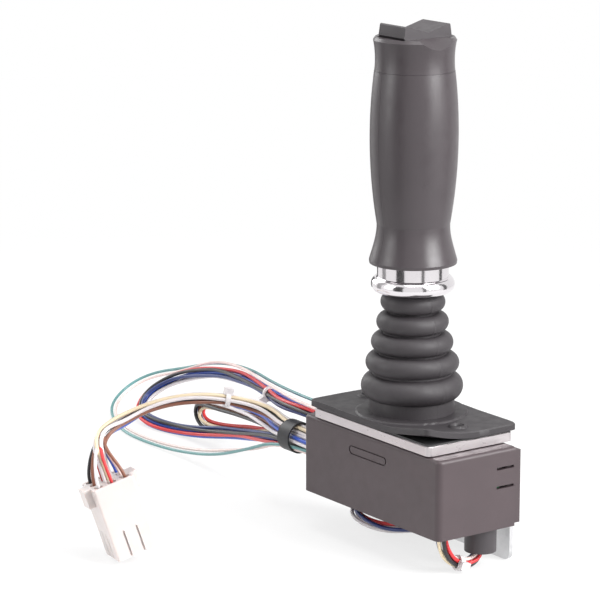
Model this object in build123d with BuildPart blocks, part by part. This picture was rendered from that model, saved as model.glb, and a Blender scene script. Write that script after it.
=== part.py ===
"""Industrial joystick with one tilting axis, a pull-up lock ring, a thumb rocker and a wire harness.

Frame: millimetres, +Z up the lever, +X along the long side of the mounting plate.
The origin is the centre of the plate's upper face.
"""

import os
from math import cos, pi, radians, sin, tan

from build123d import *

os.makedirs("parts", exist_ok=True)

# Clearances
fit_gap = 0.05          # radial gap of a hole over the pin or screw that stays in it
running_gap = 0.05      # radial gap of a shaft in its bearing
side_gap = 0.3          # gap between two pieces that pass or move beside each other

# Mounting plate, gasket and boot flange
plate_length = 90.0
plate_width = 50.0
plate_thick = 4.5
plate_corner = 3.0
plate_chamfer = 0.4
lever_opening = 34.0
mount_edge = 10.0       # from a mounting hole's middle to the plate's end
mount_spacing = plate_length - 2 * mount_edge
mount_hole = 5.5
gasket_thick = 0.8
gasket_inset = 0.5
flange_overhang_x = 1.0
flange_overhang_y = 2.0
flange_thick = 3.0
flange_disc_radius = 26.9
flange_disc_thick = 3.8
flange_eye_radius = 4.6
flange_eye_rise = 0.8

# Bellows: radius and height of each fold's crease and crown, from the flange upwards
bellows_creases = [(20.2, 10.5), (19.0, 23.0), (16.2, 32.8), (13.7, 42.4), (11.1, 52.0), (10.6, 61.7)]
bellows_crowns = [(24.0, 17.5), (22.0, 28.4), (19.3, 38.2), (17.0, 47.2), (15.2, 56.8)]
boot_wall = 1.8
boot_crown_wall = 2.6
crease_height = 0.8     # straight wall between two folds, so that their arcs don't cross

# Pivot and its folded steel frame
pivot_height = -14.0
frame_sheet = 2.0
frame_half_length = 22.0
frame_foot_half_length = 32.5   # past the switches' outer ends
frame_foot_top = -27.5
frame_bottom = -38.0
frame_rear = 15.0
frame_front = -20.0
frame_slot_length = 30.0
frame_slot_width = 19.0
frame_corner = 4.0
frame_rivet_places = [(-18.0, -13.0), (18.0, -13.0), (-18.0, 10.0), (18.0, 10.0)]
frame_rivet_radius = 1.5
rivet_head_radius = 2.5
rivet_head_thick = 1.0
bush_radius = 5.5
bush_flange_radius = 7.0
bush_flange_thick = 1.0
pin_radius = 4.0
pin_inner_end = 5.0
pin_front_end = 22.0
pin_rear_end = 17.5
clip_thick = 1.0
clip_radius = 6.5
clip_groove_depth = 0.6
clip_gap = 0.2          # between a clip and the cheek beside it
magnet_radius = 3.0
magnet_thick = 1.8

# Hub, lever tube, lock rod and lock gate
hub_radius = 7.3
hub_front = -10.0
hub_boss_radius = 8.5
hub_boss_top = 2.0
wing_half_length = 15.0
wing_front = 4.5
wing_top = -13.0
wing_bottom = -17.5
tongue_half_width = 4.0
tongue_thick = 4.0
tongue_bottom = -26.0
tube_radius = 6.0
tube_bore_radius = 4.0
tube_bottom = -8.0
tube_top = 160.0
rod_bottom = -31.0
rod_top = 70.0
gate_inner_radius = 17.8
gate_outer_radius = 20.0
gate_half_angle = 32.0

# Return spring round the front pin, its post on the hub and its stop on the frame
return_spring_radius = 6.2
return_spring_wire = 1.3
return_spring_pitch = 1.6
return_spring_turns = 2.5
return_spring_front = -15.9
spring_leg_length = 15.0
post_radius = 1.8
hub_post_height = -23.4
frame_post_height = -28.0

# Limit switches under the hub's wings
switch_length = 20.0
switch_width = 6.4
switch_height = 10.0
switch_inner_end = 12.0
switch_top = -27.0
plunger_place = 1.4
plunger_rise = 3.6
plunger_size = 1.6
terminal_places = [2.0, 10.0, 18.0]
terminal_length = 5.0
terminal_width = 3.2
terminal_thick = 0.6
switch_hole_places = [5.25, 14.75]
switch_screw_radius = 1.1
switch_screw_head_radius = 2.0
switch_screw_head_thick = 1.2

# Cover box, rear rim and bracket
box_half_length = 52.7
box_front = -25.0
box_rear = 20.0
box_top = -5.0
box_bottom = -43.0
box_wall = 2.2
box_front_corner = 3.0
box_top_edge = 1.8
box_notch_half_length = 26.0
box_notch_front = -22.5
box_screw_clearance = 11.0
groove_middle = -1.25
groove_height = -14.2
groove_length = 28.9
groove_width = 4.5
groove_line = 0.7
groove_depth = 0.6
snap_slit_heights = [-14.0, -23.0]
snap_slit_length = 11.0
snap_slit_width = 1.3
rim_half_length = box_half_length - 1.2
rim_top = -7.0
rim_bottom = -42.0
rim_bar = 3.0
rim_lip_wall = 1.5
rim_lip_depth = 3.0
rim_tab_inner = rim_half_length - 11.5
rim_tab_height = 6.0
rim_rivet_x = rim_half_length - 9.5
rim_rivet_places = [(side * rim_rivet_x, z) for side in (-1, 1) for z in (-16.0, -39.5)]
bracket_half_length = box_half_length - 8.2
bracket_front = 24.0
bracket_sheet = 2.0
bracket_top = -10.0
bracket_bottom = -63.0
bracket_corner = 4.0
shelf_top = -36.0
shelf_neck_inner = 33.5
shelf_neck_outer = 39.5
shelf_outer = box_half_length - 2.4
shelf_front = -1.0
shelf_rear = 16.9

# Sleeve of the wires below the box
sleeve_place = (42.0, 8.5)
sleeve_radius = 7.5
sleeve_neck_radius = 6.5
sleeve_flange_radius = 7.8
sleeve_flange_thick = 1.5
sleeve_bottom = -55.3
sleeve_bore_radius = 5.0
sleeve_bore_top = -46.0

# Circuit board, sensor chip, headers and screws
board_half_length = 38.0
board_top = -10.5
board_bottom = -34.0
board_front = 21.2
board_thick = 1.6
board_screw_places = [(-17.0, -14.0), (17.0, -14.0), (-22.0, -30.0), (22.0, -30.0)]
screw_radius = 1.45
screw_head_radius = 2.8
screw_head_thick = 2.0
spacer_radius = 3.0
chip_size = 5.0
chip_thick = 1.2
header_depth = 6.0
left_header = (-36.0, -26.0, -28.0, -16.0)
right_header = (28.0, 38.0, -27.0, -17.0)

# Wire outlet in the left end of the box
outlet_front = -16.0
outlet_rear = 8.0
outlet_bottom = -36.0
outlet_top = -9.0
outlet_lip = 1.2
outlet_face = -(box_half_length + 2.3)
outlet_inner_face = -(box_half_length - box_wall - 1.5)
outlet_head_top = -5.8
inner_lead_diameter = 8.0

# Lock ring and its spring
ring_bottom = 62.3
ring_flange_top = 68.7
ring_radius = 19.6
ring_neck_radius = 16.8
ring_neck_top = 77.5
ring_cup_radius = 10.0
ring_cup_floor = 70.5
ring_lift = 5.5
lock_pin_radius = 1.5
lock_pin_height = 64.5
lock_pin_front = -16.0
lock_pin_rear = 18.4
lock_spring_radius = 8.4
lock_spring_wire = 1.2
lock_spring_turns = 5

# Grip: skirt, shells, core, screws
skirt_profile = [(20.4, 75.5), (20.6, 76.9), (18.8, 83.1), (17.2, 91.0), (17.1, 94.0)]
skirt_bore_radius = 17.6
skirt_bore_top = 84.5
grip_bottom = 94.0
grip_top = 165.5
grip_bottom_radius = 17.1
grip_middle = (20.5, 130.0)
grip_top_radius = 18.7
grip_wall = 3.0
grip_rib_heights = [99.0, 130.0, 158.0]
grip_rib_thick = 2.5
grip_parting = 0.1
core_radius = 12.5
core_bottom = 85.0
grip_screw_heights = [106.0, 152.0]
grip_screw_offset = 9.0
grip_boss_radius = 4.5
grip_screw_head_place = -13.5
grip_screw_front = 14.5

# Head and thumb rocker
head_waist = (18.4, 173.0)
head_rim_radius = 19.3
head_rim_height = 179.6
head_deck = 181.0
head_edge = 0.9
head_spigot_radius = 15.4
head_bore_radius = 13.0
head_spigot_depth = 4.0
head_floor_bottom = 168.0
pocket_half_length = 10.1
pocket_half_width = 14.8
pocket_floor = 170.0
scoop_radius = 18.0
scoop_slope = 26.6
scoop_start = 9.75
rocker_half_length = 9.75
rocker_pin_radius = 1.5
rocker_pin_height = 177.0
rocker_pin_rear = -17.6
rocker_pin_front = 13.5
rocker_peak = (12.7, 187.3)
rocker_base = (13.6, 181.8)
rocker_valley = 183.7
rocker_keel = (10.5, 176.0)
rocker_boss_half_width = 4.0
rocker_edge = 0.8
head_board_thick = 1.2
head_board_half_length = 9.0
head_board_half_width = 13.5
tact_size = 6.0
tact_height = 2.3
tact_place = 8.0
tact_button_radius = 1.75
tact_button_top = 174.2

# Harness: bundle sizes, the band round it, its ties and the connector
bundle_diameter = 5.0
corner_share = 0.45      # share of the shorter run that a corner's arc takes
loop_diameter = 4.6
thin_diameter = 1.6
band_place = (-82.0, -9.0, -25.5)
band_length = 9.0
band_bore_radius = 7.1
band_wall = 0.8
tie_wall = 1.1
tie_width = 2.4
tie_head = (4.6, 3.6, 3.4)
housing_entry = (-66.7, -127.5, -24.0)
housing_axis = (0.163, 0.263, -0.951)
housing_row = (0.214, 0.932, 0.294)
housing_width = 20.5
housing_length = 36.0
housing_pitch = 6.7
housing_wire_bore = 2.2
housing_wire_depth = 20.0
housing_slot_length = 13.0
housing_slot_width = 1.0
housing_slot_depth = 1.2
ear_length = 9.0
ear_reach = 3.4
ear_width = 9.0
terminal_radius = 1.6
connector_terminal_length = 14.0

outer_route = [
    (outlet_face, -6.5, -11.9), (-78, -6.5, -11.9), (-104, -2, -14), (-157, 19, -18), (-208, 34, -25),
    (-245, 39, -34), (-267, 37, -42), (-277, 28, -51), (-270, 18, -58.5), (-250, 15, -60.2),
    (-226, 21, -60), (-178, 19, -50), (-126, 3, -37.5), (-90, -9, -29.2), (outlet_face, -9, -29.2),
]
inner_route = [
    (outlet_face, -12.6, -25.5), (-88, -12.6, -25.5), (-135, 8, -30.5), (-180, 21, -38), (-210, 28.5, -42.8),
    (-223.5, 31, -44.8), (-230.5, 32.3, -48), (-231, 32.4, -54), (-225, 32, -57.6), (-214, 31.8, -57.3),
    (-192, 29, -53), (-146, 16, -42), (-108, 3, -31), (-86, -5.4, -25.5), (outlet_face, -5.4, -25.5),
]
lead_route = [
    (outlet_face, -9, -21.8), (-86, -9, -21.8), (-110, -5, -19), (-123, -13, -16), (-129, -27, -13),
    (-130, -48, -11), (-122, -71, -10), (-106, -96, -10), (-90, -112, -7), (-78, -123, -5.5),
    (-70.5, -129.5, -8), (-68.25, -130.0, -14.95), (-66.7, -127.5, -24),
]
thin_outer_route = [
    (outlet_face, -2, -7.3), (-78, -2, -7.3), (-130, 13, -12.5), (-185, 34, -18), (-233, 45, -26),
    (-268, 48, -37), (-297, 45, -45), (-308, 35, -53), (-301, 19, -60), (-277, 5, -62),
    (-250, -4, -62), (-224, -5, -62), (-196, -4, -60.5), (-160, -6, -54), (-124, -11, -42),
    (-89, -14.0, -28.4), (outlet_face, -14.0, -28.4),
]
thin_inner_route = [
    (outlet_face, -10, -7.3), (-78, -10, -7.3), (-130, 6.5, -10.5), (-185, 28, -16), (-233, 43, -25),
    (-266, 44, -38), (-292, 39, -46), (-300, 29, -54), (-292, 15, -60), (-268, 4, -62),
    (-240, -1, -62), (-212, -1, -61), (-178, -3, -56), (-146, -6, -48), (-116, -8.5, -40),
    (-90, -12.7, -30.0), (outlet_face, -12.7, -30.0),
]
under_left_route = [
    (-30, 9.8, -42), (-30, 9.8, -47.5), (-35.5, 6.5, -50.5), (-40.5, 0, -51.5), (-37, -6.5, -53.5),
    (-24, -9, -55), (-8, -8.5, -54.5), (4, -5, -52), (12, 2, -50.5), (14, 9.8, -47.5), (14, 9.8, -42),
]
under_front_route = [
    (42, 8.5, -46), (42, 8.5, -57), (43, 0, -60.5), (42.5, -9.5, -57.5), (44, -16.5, -48),
    (44, -15, -37), (41, -8, -27.5), (36, 0, -22.5), (33, 7.5, -22), (33, 15.2, -22),
]
inner_lead_route = [(outlet_inner_face, -4, -22), (-28, -4, -22), (-28, 15.2, -22)]

# The plane of the profiles that turn round the lever's axis
across = Plane.XZ


def save(piece, name):
    """Label a finished sub-part and write its STEP file."""
    piece.part.label = name
    export_step(piece.part, "parts/" + name + ".step")


def at_front(y):
    """The XZ plane at a place on Y, whose sketches read X and Z and extrude towards -Y."""
    return Plane.XZ.offset(-y)


def both_ways(places):
    """Places mirrored in X."""
    return places + [(-x, z) for x, z in places]


def rear_screw_hole_places():
    """Where the board's four screws pass, in X and Z."""
    return [Location((x, z)) for x, z in board_screw_places]


# Mounting plate, gasket and rubber boot

with BuildPart() as mounting_plate:
    with BuildSketch(Plane.XY.offset(-plate_thick)):
        RectangleRounded(plate_length, plate_width, plate_corner)
        Circle(lever_opening / 2, mode=Mode.SUBTRACT)
        with Locations((-mount_spacing / 2, 0), (mount_spacing / 2, 0)):
            Circle(mount_hole / 2, mode=Mode.SUBTRACT)
    extrude(amount=plate_thick)
    outer_rims = mounting_plate.faces().filter_by(Axis.Z).sort_by(Axis.Z)
    chamfer(outer_rims[-1].outer_wire().edges(), plate_chamfer)
    with Locations(*[(x, y, 0) for x, y in frame_rivet_places]):
        CounterSinkHole(frame_rivet_radius + fit_gap, rivet_head_radius + fit_gap, depth=plate_thick,
                        counter_sink_angle=90)
save(mounting_plate, "mounting_plate")

with BuildPart() as plate_gasket:
    with BuildSketch():
        RectangleRounded(plate_length - 2 * gasket_inset, plate_width - 2 * gasket_inset, plate_corner)
        Circle(lever_opening / 2, mode=Mode.SUBTRACT)
        with Locations((-mount_spacing / 2, 0), (mount_spacing / 2, 0)):
            Circle(mount_hole / 2, mode=Mode.SUBTRACT)
    extrude(amount=gasket_thick)
save(plate_gasket, "plate_gasket")

flange_top = gasket_thick + flange_thick
flange_length = plate_length + 2 * flange_overhang_x
flange_width = plate_width + 2 * flange_overhang_y
boot_collar_radius = tube_radius + side_gap
boot_top = bellows_creases[-1][1]

inner_creases = [(r - boot_wall, z) for r, z in bellows_creases[:-1]]
inner_creases += [(bellows_creases[-1][0] - boot_wall, boot_top - boot_wall)]
inner_crowns = [(r - boot_crown_wall, z) for r, z in bellows_crowns]
inner_zigzag = [inner_creases[0]]
for crown, crease in zip(inner_crowns, inner_creases[1:]):
    inner_zigzag += [crown, crease]

with BuildPart() as rubber_boot:
    with BuildSketch(Plane.XY.offset(gasket_thick)):
        RectangleRounded(flange_length, flange_width, plate_corner)
        Circle(inner_creases[0][0], mode=Mode.SUBTRACT)
        with Locations((-mount_spacing / 2, 0), (mount_spacing / 2, 0)):
            Circle(mount_hole / 2, mode=Mode.SUBTRACT)
    extrude(amount=flange_thick)
    with BuildSketch(Plane.XY.offset(gasket_thick)):
        Circle(flange_disc_radius)
        Circle(inner_creases[0][0], mode=Mode.SUBTRACT)
    extrude(amount=flange_disc_thick)
    with BuildSketch(Plane.XY.offset(flange_top)):
        with Locations((-mount_spacing / 2, 0), (mount_spacing / 2, 0)):
            Circle(flange_eye_radius)
            Circle(mount_hole / 2, mode=Mode.SUBTRACT)
    extrude(amount=flange_eye_rise)
    with BuildSketch(across):
        with BuildLine():
            fold_bottoms = [(r, z + crease_height / 2) for r, z in bellows_creases[:-1]]
            fold_tops = [(r, z - crease_height / 2) for r, z in bellows_creases[1:]]
            Polyline((inner_creases[0][0], flange_top), (bellows_creases[0][0], flange_top), fold_bottoms[0])
            for bottom, crown, top in zip(fold_bottoms, bellows_crowns, fold_tops):
                ThreePointArc(bottom, crown, top)
            for top, next_bottom in zip(fold_tops, fold_bottoms[1:]):
                Line(top, next_bottom)
            Polyline(fold_tops[-1], bellows_creases[-1], (boot_collar_radius, boot_top),
                     (boot_collar_radius, inner_creases[-1][1]), *reversed(inner_zigzag),
                     (inner_creases[0][0], flange_top))
        make_face()
    revolve(axis=Axis.Z)
save(rubber_boot, "rubber_boot")


# Pivot frame with its rivets and bushes, and the lock gate between its cheeks

frame_top = -plate_thick
cheek_top = frame_top - frame_sheet
rear_cheek_front = frame_rear - frame_sheet
front_cheek_rear = frame_front + frame_sheet
frame_depth = frame_rear - frame_front
frame_middle = (frame_rear + frame_front) / 2
switch_screw_places = [(switch_inner_end + place, switch_top - switch_height / 2)
                       for place in switch_hole_places]

with BuildPart() as pivot_frame:
    with BuildSketch(Plane.XY.offset(cheek_top)):
        with Locations((0, frame_middle)):
            Rectangle(2 * frame_half_length, frame_depth)
        RectangleRounded(frame_slot_length, frame_slot_width, frame_corner, mode=Mode.SUBTRACT)
        with Locations(*frame_rivet_places):
            Circle(frame_rivet_radius + fit_gap, mode=Mode.SUBTRACT)
    extrude(amount=frame_sheet)
    with BuildSketch(at_front(frame_rear)):
        with BuildLine():
            Polyline((-frame_half_length, cheek_top), (frame_half_length, cheek_top),
                     (frame_half_length, frame_foot_top), (frame_foot_half_length, frame_foot_top),
                     (frame_foot_half_length, frame_bottom), (-frame_foot_half_length, frame_bottom),
                     (-frame_foot_half_length, frame_foot_top), (-frame_half_length, frame_foot_top),
                     close=True)
        make_face()
        with Locations((0, pivot_height)):
            Circle(bush_radius + fit_gap, mode=Mode.SUBTRACT)
        with Locations(*rear_screw_hole_places()):
            Circle(screw_radius + fit_gap, mode=Mode.SUBTRACT)
        with Locations(*both_ways(switch_screw_places)):
            Circle(switch_screw_radius + fit_gap, mode=Mode.SUBTRACT)
    extrude(amount=frame_sheet)
    with BuildSketch(at_front(front_cheek_rear)):
        with BuildLine():
            Polyline((-frame_half_length, cheek_top), (frame_half_length, cheek_top),
                     (frame_half_length, frame_bottom), (-frame_half_length, frame_bottom), close=True)
        make_face()
        with Locations((0, pivot_height)):
            Circle(bush_radius + fit_gap, mode=Mode.SUBTRACT)
        with Locations((0, frame_post_height)):
            Circle(post_radius + fit_gap, mode=Mode.SUBTRACT)
    extrude(amount=frame_sheet)
save(pivot_frame, "pivot_frame")

rivet_cone_depth = rivet_head_radius - frame_rivet_radius

with BuildPart() as frame_rivets:
    for x, y in frame_rivet_places:
        with BuildSketch(Plane.XY.offset(cheek_top - rivet_head_thick)):
            with Locations((x, y)):
                Circle(rivet_head_radius)
        extrude(amount=rivet_head_thick)
        with BuildSketch(Plane.XY.offset(cheek_top)):
            with Locations((x, y)):
                Circle(frame_rivet_radius)
        extrude(amount=-cheek_top)
        with Locations((x, y, -rivet_cone_depth / 2)):
            Cone(frame_rivet_radius, rivet_head_radius, rivet_cone_depth)
save(frame_rivets, "frame_rivets")

with BuildPart() as pivot_bushes:
    for inner_face, outwards in ((rear_cheek_front, -1), (front_cheek_rear, 1)):
        with BuildSketch(at_front(inner_face)):
            with Locations((0, pivot_height)):
                Circle(bush_radius)
                Circle(pin_radius + running_gap, mode=Mode.SUBTRACT)
        extrude(amount=outwards * frame_sheet)
        with BuildSketch(at_front(inner_face)):
            with Locations((0, pivot_height)):
                Circle(bush_flange_radius)
                Circle(pin_radius + running_gap, mode=Mode.SUBTRACT)
        extrude(amount=-outwards * bush_flange_thick)
save(pivot_bushes, "pivot_bushes")

with BuildPart() as lock_gate:
    with BuildSketch(at_front(rear_cheek_front)):
        with BuildLine():
            sine = sin(radians(gate_half_angle))
            cosine = cos(radians(gate_half_angle))
            inner_end = (gate_inner_radius * sine, pivot_height - gate_inner_radius * cosine)
            outer_end = (gate_outer_radius * sine, pivot_height - gate_outer_radius * cosine)
            ThreePointArc((-inner_end[0], inner_end[1]), (0, pivot_height - gate_inner_radius), inner_end)
            Line(inner_end, outer_end)
            ThreePointArc(outer_end, (0, pivot_height - gate_outer_radius), (-outer_end[0], outer_end[1]))
            Line((-outer_end[0], outer_end[1]), (-inner_end[0], inner_end[1]))
        make_face()
    extrude(amount=rear_cheek_front - front_cheek_rear)
    with BuildSketch(Plane.XY.offset(pivot_height - gate_outer_radius - side_gap)):
        Circle(tube_bore_radius + fit_gap)
    extrude(amount=gate_outer_radius, mode=Mode.SUBTRACT)
save(lock_gate, "lock_gate")


# Lever: hub, pins, clips, magnet, tube and return spring

hub_rear = rear_cheek_front - bush_flange_thick - side_gap
hub_length = hub_rear - hub_front

with BuildPart() as pivot_hub:
    with BuildSketch(at_front(hub_rear)):
        with Locations((0, pivot_height)):
            Circle(hub_radius)
    extrude(amount=hub_length)
    with BuildSketch(Plane.XY.offset(pivot_height)):
        Circle(hub_boss_radius)
    extrude(amount=hub_boss_top - pivot_height)
    with BuildSketch(at_front(hub_rear)):
        with Locations((0, (wing_top + wing_bottom) / 2)):
            Rectangle(2 * wing_half_length, wing_top - wing_bottom)
    extrude(amount=hub_rear - wing_front)
    with BuildSketch(at_front(hub_front + tongue_thick)):
        with Locations((0, (pivot_height + tongue_bottom) / 2)):
            Rectangle(2 * tongue_half_width, pivot_height - tongue_bottom)
    extrude(amount=tongue_thick)
    with BuildSketch(Plane.XY.offset(tube_bottom)):
        Circle(tube_radius + fit_gap)
    extrude(amount=hub_boss_top - tube_bottom, mode=Mode.SUBTRACT)
    with BuildSketch(Plane.XY.offset(pivot_height - hub_radius - tube_radius)):
        Circle(tube_bore_radius)
    extrude(amount=hub_radius + 3 * tube_radius, mode=Mode.SUBTRACT)
    with BuildSketch(at_front(hub_rear)):
        with Locations((0, pivot_height)):
            Circle(pin_radius + fit_gap)
    extrude(amount=hub_rear - pin_inner_end, mode=Mode.SUBTRACT)
    with BuildSketch(at_front(-pin_inner_end)):
        with Locations((0, pivot_height)):
            Circle(pin_radius + fit_gap)
    extrude(amount=-hub_front - pin_inner_end, mode=Mode.SUBTRACT)
    with BuildSketch(at_front(hub_front + tongue_thick)):
        with Locations((0, hub_post_height)):
            Circle(post_radius + fit_gap)
    extrude(amount=tongue_thick, mode=Mode.SUBTRACT)
save(pivot_hub, "pivot_hub")

front_clip_place = frame_front - clip_gap
rear_clip_place = frame_rear + clip_gap + clip_thick

with BuildPart() as pivot_pins:
    with BuildSketch(at_front(pin_rear_end)):
        with Locations((0, pivot_height)):
            Circle(pin_radius)
    extrude(amount=pin_rear_end - pin_inner_end)
    with BuildSketch(at_front(-pin_inner_end)):
        with Locations((0, pivot_height)):
            Circle(pin_radius)
    extrude(amount=pin_front_end - pin_inner_end)
    for clip_place in (front_clip_place, rear_clip_place):
        with BuildSketch(at_front(clip_place)):
            with Locations((0, pivot_height)):
                Circle(pin_radius + side_gap)
                Circle(pin_radius - clip_groove_depth, mode=Mode.SUBTRACT)
        extrude(amount=clip_thick, mode=Mode.SUBTRACT)
save(pivot_pins, "pivot_pins")

with BuildPart() as pin_clips:
    for clip_place in (front_clip_place, rear_clip_place):
        with BuildSketch(at_front(clip_place)):
            with Locations((0, pivot_height)):
                Circle(clip_radius)
                Circle(pin_radius - clip_groove_depth + fit_gap, mode=Mode.SUBTRACT)
            with Locations((0, pivot_height - clip_radius)):
                Rectangle(pin_radius, clip_radius, mode=Mode.SUBTRACT)
        extrude(amount=clip_thick)
save(pin_clips, "pin_clips")

with BuildPart() as sensor_magnet:
    with BuildSketch(at_front(pin_rear_end + magnet_thick)):
        with Locations((0, pivot_height)):
            Circle(magnet_radius)
    extrude(amount=magnet_thick)
save(sensor_magnet, "sensor_magnet")

with BuildPart() as hub_post:
    with BuildSketch(at_front(hub_front + tongue_thick)):
        with Locations((0, hub_post_height)):
            Circle(post_radius)
    extrude(amount=hub_front + tongue_thick - return_spring_front)
save(hub_post, "hub_post")

with BuildPart() as frame_post:
    with BuildSketch(at_front(hub_front - side_gap)):
        with Locations((0, frame_post_height)):
            Circle(post_radius)
    extrude(amount=hub_front - side_gap - frame_front)
save(frame_post, "frame_post")

spring_height = return_spring_pitch * return_spring_turns
leg_slope = (return_spring_radius - post_radius - return_spring_wire / 2) / spring_leg_length

with BuildPart() as return_spring:
    with BuildLine():
        turns = Helix(return_spring_pitch, spring_height, return_spring_radius,
                      center=(0, return_spring_front, pivot_height), direction=(0, 1, 0), mode=Mode.PRIVATE)
        coil = turns.rotate(Axis((0, 0, pivot_height), (0, 1, 0)), 90)
        add(coil)
    with BuildSketch(Plane(origin=coil @ 0, z_dir=coil % 0)):
        Circle(return_spring_wire / 2)
    sweep(path=coil, is_frenet=True)
    for end, side in ((coil @ 0, 1), (coil @ 1, -1)):
        leg_direction = (-side * leg_slope, 0, -1)
        with BuildSketch(Plane(origin=(end.X, end.Y, end.Z + return_spring_wire / 2), z_dir=leg_direction)):
            Circle(return_spring_wire / 2)
        extrude(amount=spring_leg_length)
save(return_spring, "return_spring")

slot_half_width = lock_pin_radius + 2 * fit_gap
slot_bottom = lock_pin_height - lock_pin_radius - side_gap
slot_top = lock_pin_height + ring_lift + lock_pin_radius + side_gap

with BuildPart() as lever_tube:
    with BuildSketch(Plane.XY.offset(tube_bottom)):
        Circle(tube_radius)
        Circle(tube_bore_radius, mode=Mode.SUBTRACT)
    extrude(amount=tube_top - tube_bottom)
    with BuildSketch(at_front(2 * tube_radius)):
        with Locations((0, (slot_bottom + slot_top) / 2)):
            Rectangle(2 * slot_half_width, slot_top - slot_bottom)
    extrude(amount=4 * tube_radius, mode=Mode.SUBTRACT)
save(lever_tube, "lever_tube")


# Lock ring, its cross pin, the rod inside the lever and the spring that holds the ring down

with BuildPart() as lock_ring:
    with BuildSketch(across):
        with BuildLine():
            edge = (ring_flange_top - ring_bottom) / 2
            side_height = ring_bottom + edge
            Line((tube_radius + running_gap, ring_bottom), (ring_radius - edge / 2, ring_bottom))
            ThreePointArc((ring_radius - edge / 2, ring_bottom), (ring_radius, side_height),
                          (ring_radius - edge / 2, ring_flange_top))
            Polyline((ring_radius - edge / 2, ring_flange_top), (ring_neck_radius, ring_flange_top),
                     (ring_neck_radius, ring_neck_top), (ring_cup_radius, ring_neck_top),
                     (ring_cup_radius, ring_cup_floor), (tube_radius + running_gap, ring_cup_floor),
                     (tube_radius + running_gap, ring_bottom))
        make_face()
    revolve(axis=Axis.Z)
    with BuildSketch(at_front(ring_radius)):
        with Locations((0, lock_pin_height)):
            Circle(lock_pin_radius + fit_gap)
    extrude(amount=ring_radius - lock_pin_front, mode=Mode.SUBTRACT)
save(lock_ring, "lock_ring")

with BuildPart() as lock_pin:
    with BuildSketch(at_front(lock_pin_rear)):
        with Locations((0, lock_pin_height)):
            Circle(lock_pin_radius)
    extrude(amount=lock_pin_rear - lock_pin_front)
save(lock_pin, "lock_pin")

with BuildPart() as lock_rod:
    with BuildSketch(Plane.XY.offset(rod_bottom)):
        Circle(tube_bore_radius - running_gap)
    extrude(amount=rod_top - rod_bottom)
    chamfer(lock_rod.edges().group_by(Axis.Z)[0], plate_chamfer)
    with BuildSketch(at_front(tube_bore_radius)):
        with Locations((0, lock_pin_height)):
            Circle(lock_pin_radius + fit_gap)
    extrude(amount=2 * tube_bore_radius, mode=Mode.SUBTRACT)
save(lock_rod, "lock_rod")

lock_spring_bottom = ring_cup_floor + lock_spring_wire / 2
lock_spring_top = core_bottom - lock_spring_wire / 2
lock_spring_height = lock_spring_top - lock_spring_bottom

with BuildPart() as lock_spring:
    with BuildLine():
        coil = Helix(lock_spring_height / lock_spring_turns, lock_spring_height, lock_spring_radius,
                     center=(0, 0, lock_spring_bottom))
    with BuildSketch(Plane(origin=coil @ 0, z_dir=coil % 0)):
        Circle(lock_spring_wire / 2)
    sweep(path=coil, is_frenet=True)
save(lock_spring, "lock_spring")


# Grip: core, skirt halves, shells and screws

grip_screw_places = [(y, z) for y in (-grip_screw_offset, grip_screw_offset) for z in grip_screw_heights]

with BuildPart() as grip_core:
    with BuildSketch(Plane.XY.offset(core_bottom)):
        Circle(core_radius)
        Circle(tube_radius + fit_gap, mode=Mode.SUBTRACT)
    extrude(amount=tube_top - core_bottom)
    with BuildSketch(Plane.YZ.offset(-core_radius)):
        with Locations(*grip_screw_places):
            Circle(screw_radius + fit_gap)
    extrude(amount=2 * core_radius, mode=Mode.SUBTRACT)
save(grip_core, "grip_core")


def half_space(side, low, high):
    """A block that keeps one half of the grip, less the gap at the parting line."""
    depth = 2 * grip_middle[0]
    with BuildPart() as block:
        with Locations((side * (depth / 2 + grip_parting / 2), 0, (low + high) / 2)):
            Box(depth, 2 * depth, high - low + 2 * grip_wall)
    return block.part


skirt_halves = []
for side in (1, -1):
    keep = half_space(side, skirt_profile[0][1], grip_bottom)
    with BuildPart() as skirt:
        with BuildSketch(across):
            with BuildLine():
                Spline(*skirt_profile[1:])
                Polyline(skirt_profile[-1], (core_radius + fit_gap, grip_bottom),
                         (core_radius + fit_gap, skirt_bore_top), (skirt_bore_radius, skirt_bore_top),
                         (skirt_bore_radius, skirt_profile[0][1]), skirt_profile[0], skirt_profile[1])
            make_face()
        revolve(axis=Axis.Z)
        add(keep, mode=Mode.INTERSECT)
    skirt_halves.append(skirt)
save(skirt_halves[0], "front_skirt")
save(skirt_halves[1], "rear_skirt")


def barrel_arc(inset):
    """The barrel's side as one arc, moved inwards by a wall."""
    return ThreePointArc((grip_bottom_radius - inset, grip_bottom), (grip_middle[0] - inset, grip_middle[1]),
                         (grip_top_radius - inset, grip_top))


def barrel_half(side, inset):
    """One half of the barrel's outer form, solid to the lever's axis."""
    with BuildPart() as barrel:
        with BuildSketch(across):
            with BuildLine():
                barrel_arc(inset)
                Polyline((grip_top_radius - inset, grip_top), (0, grip_top), (0, grip_bottom),
                         (grip_bottom_radius - inset, grip_bottom))
            make_face()
        revolve(axis=Axis.Z)
        add(half_space(side, grip_bottom, grip_top), mode=Mode.INTERSECT)
    return barrel.part


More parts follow.
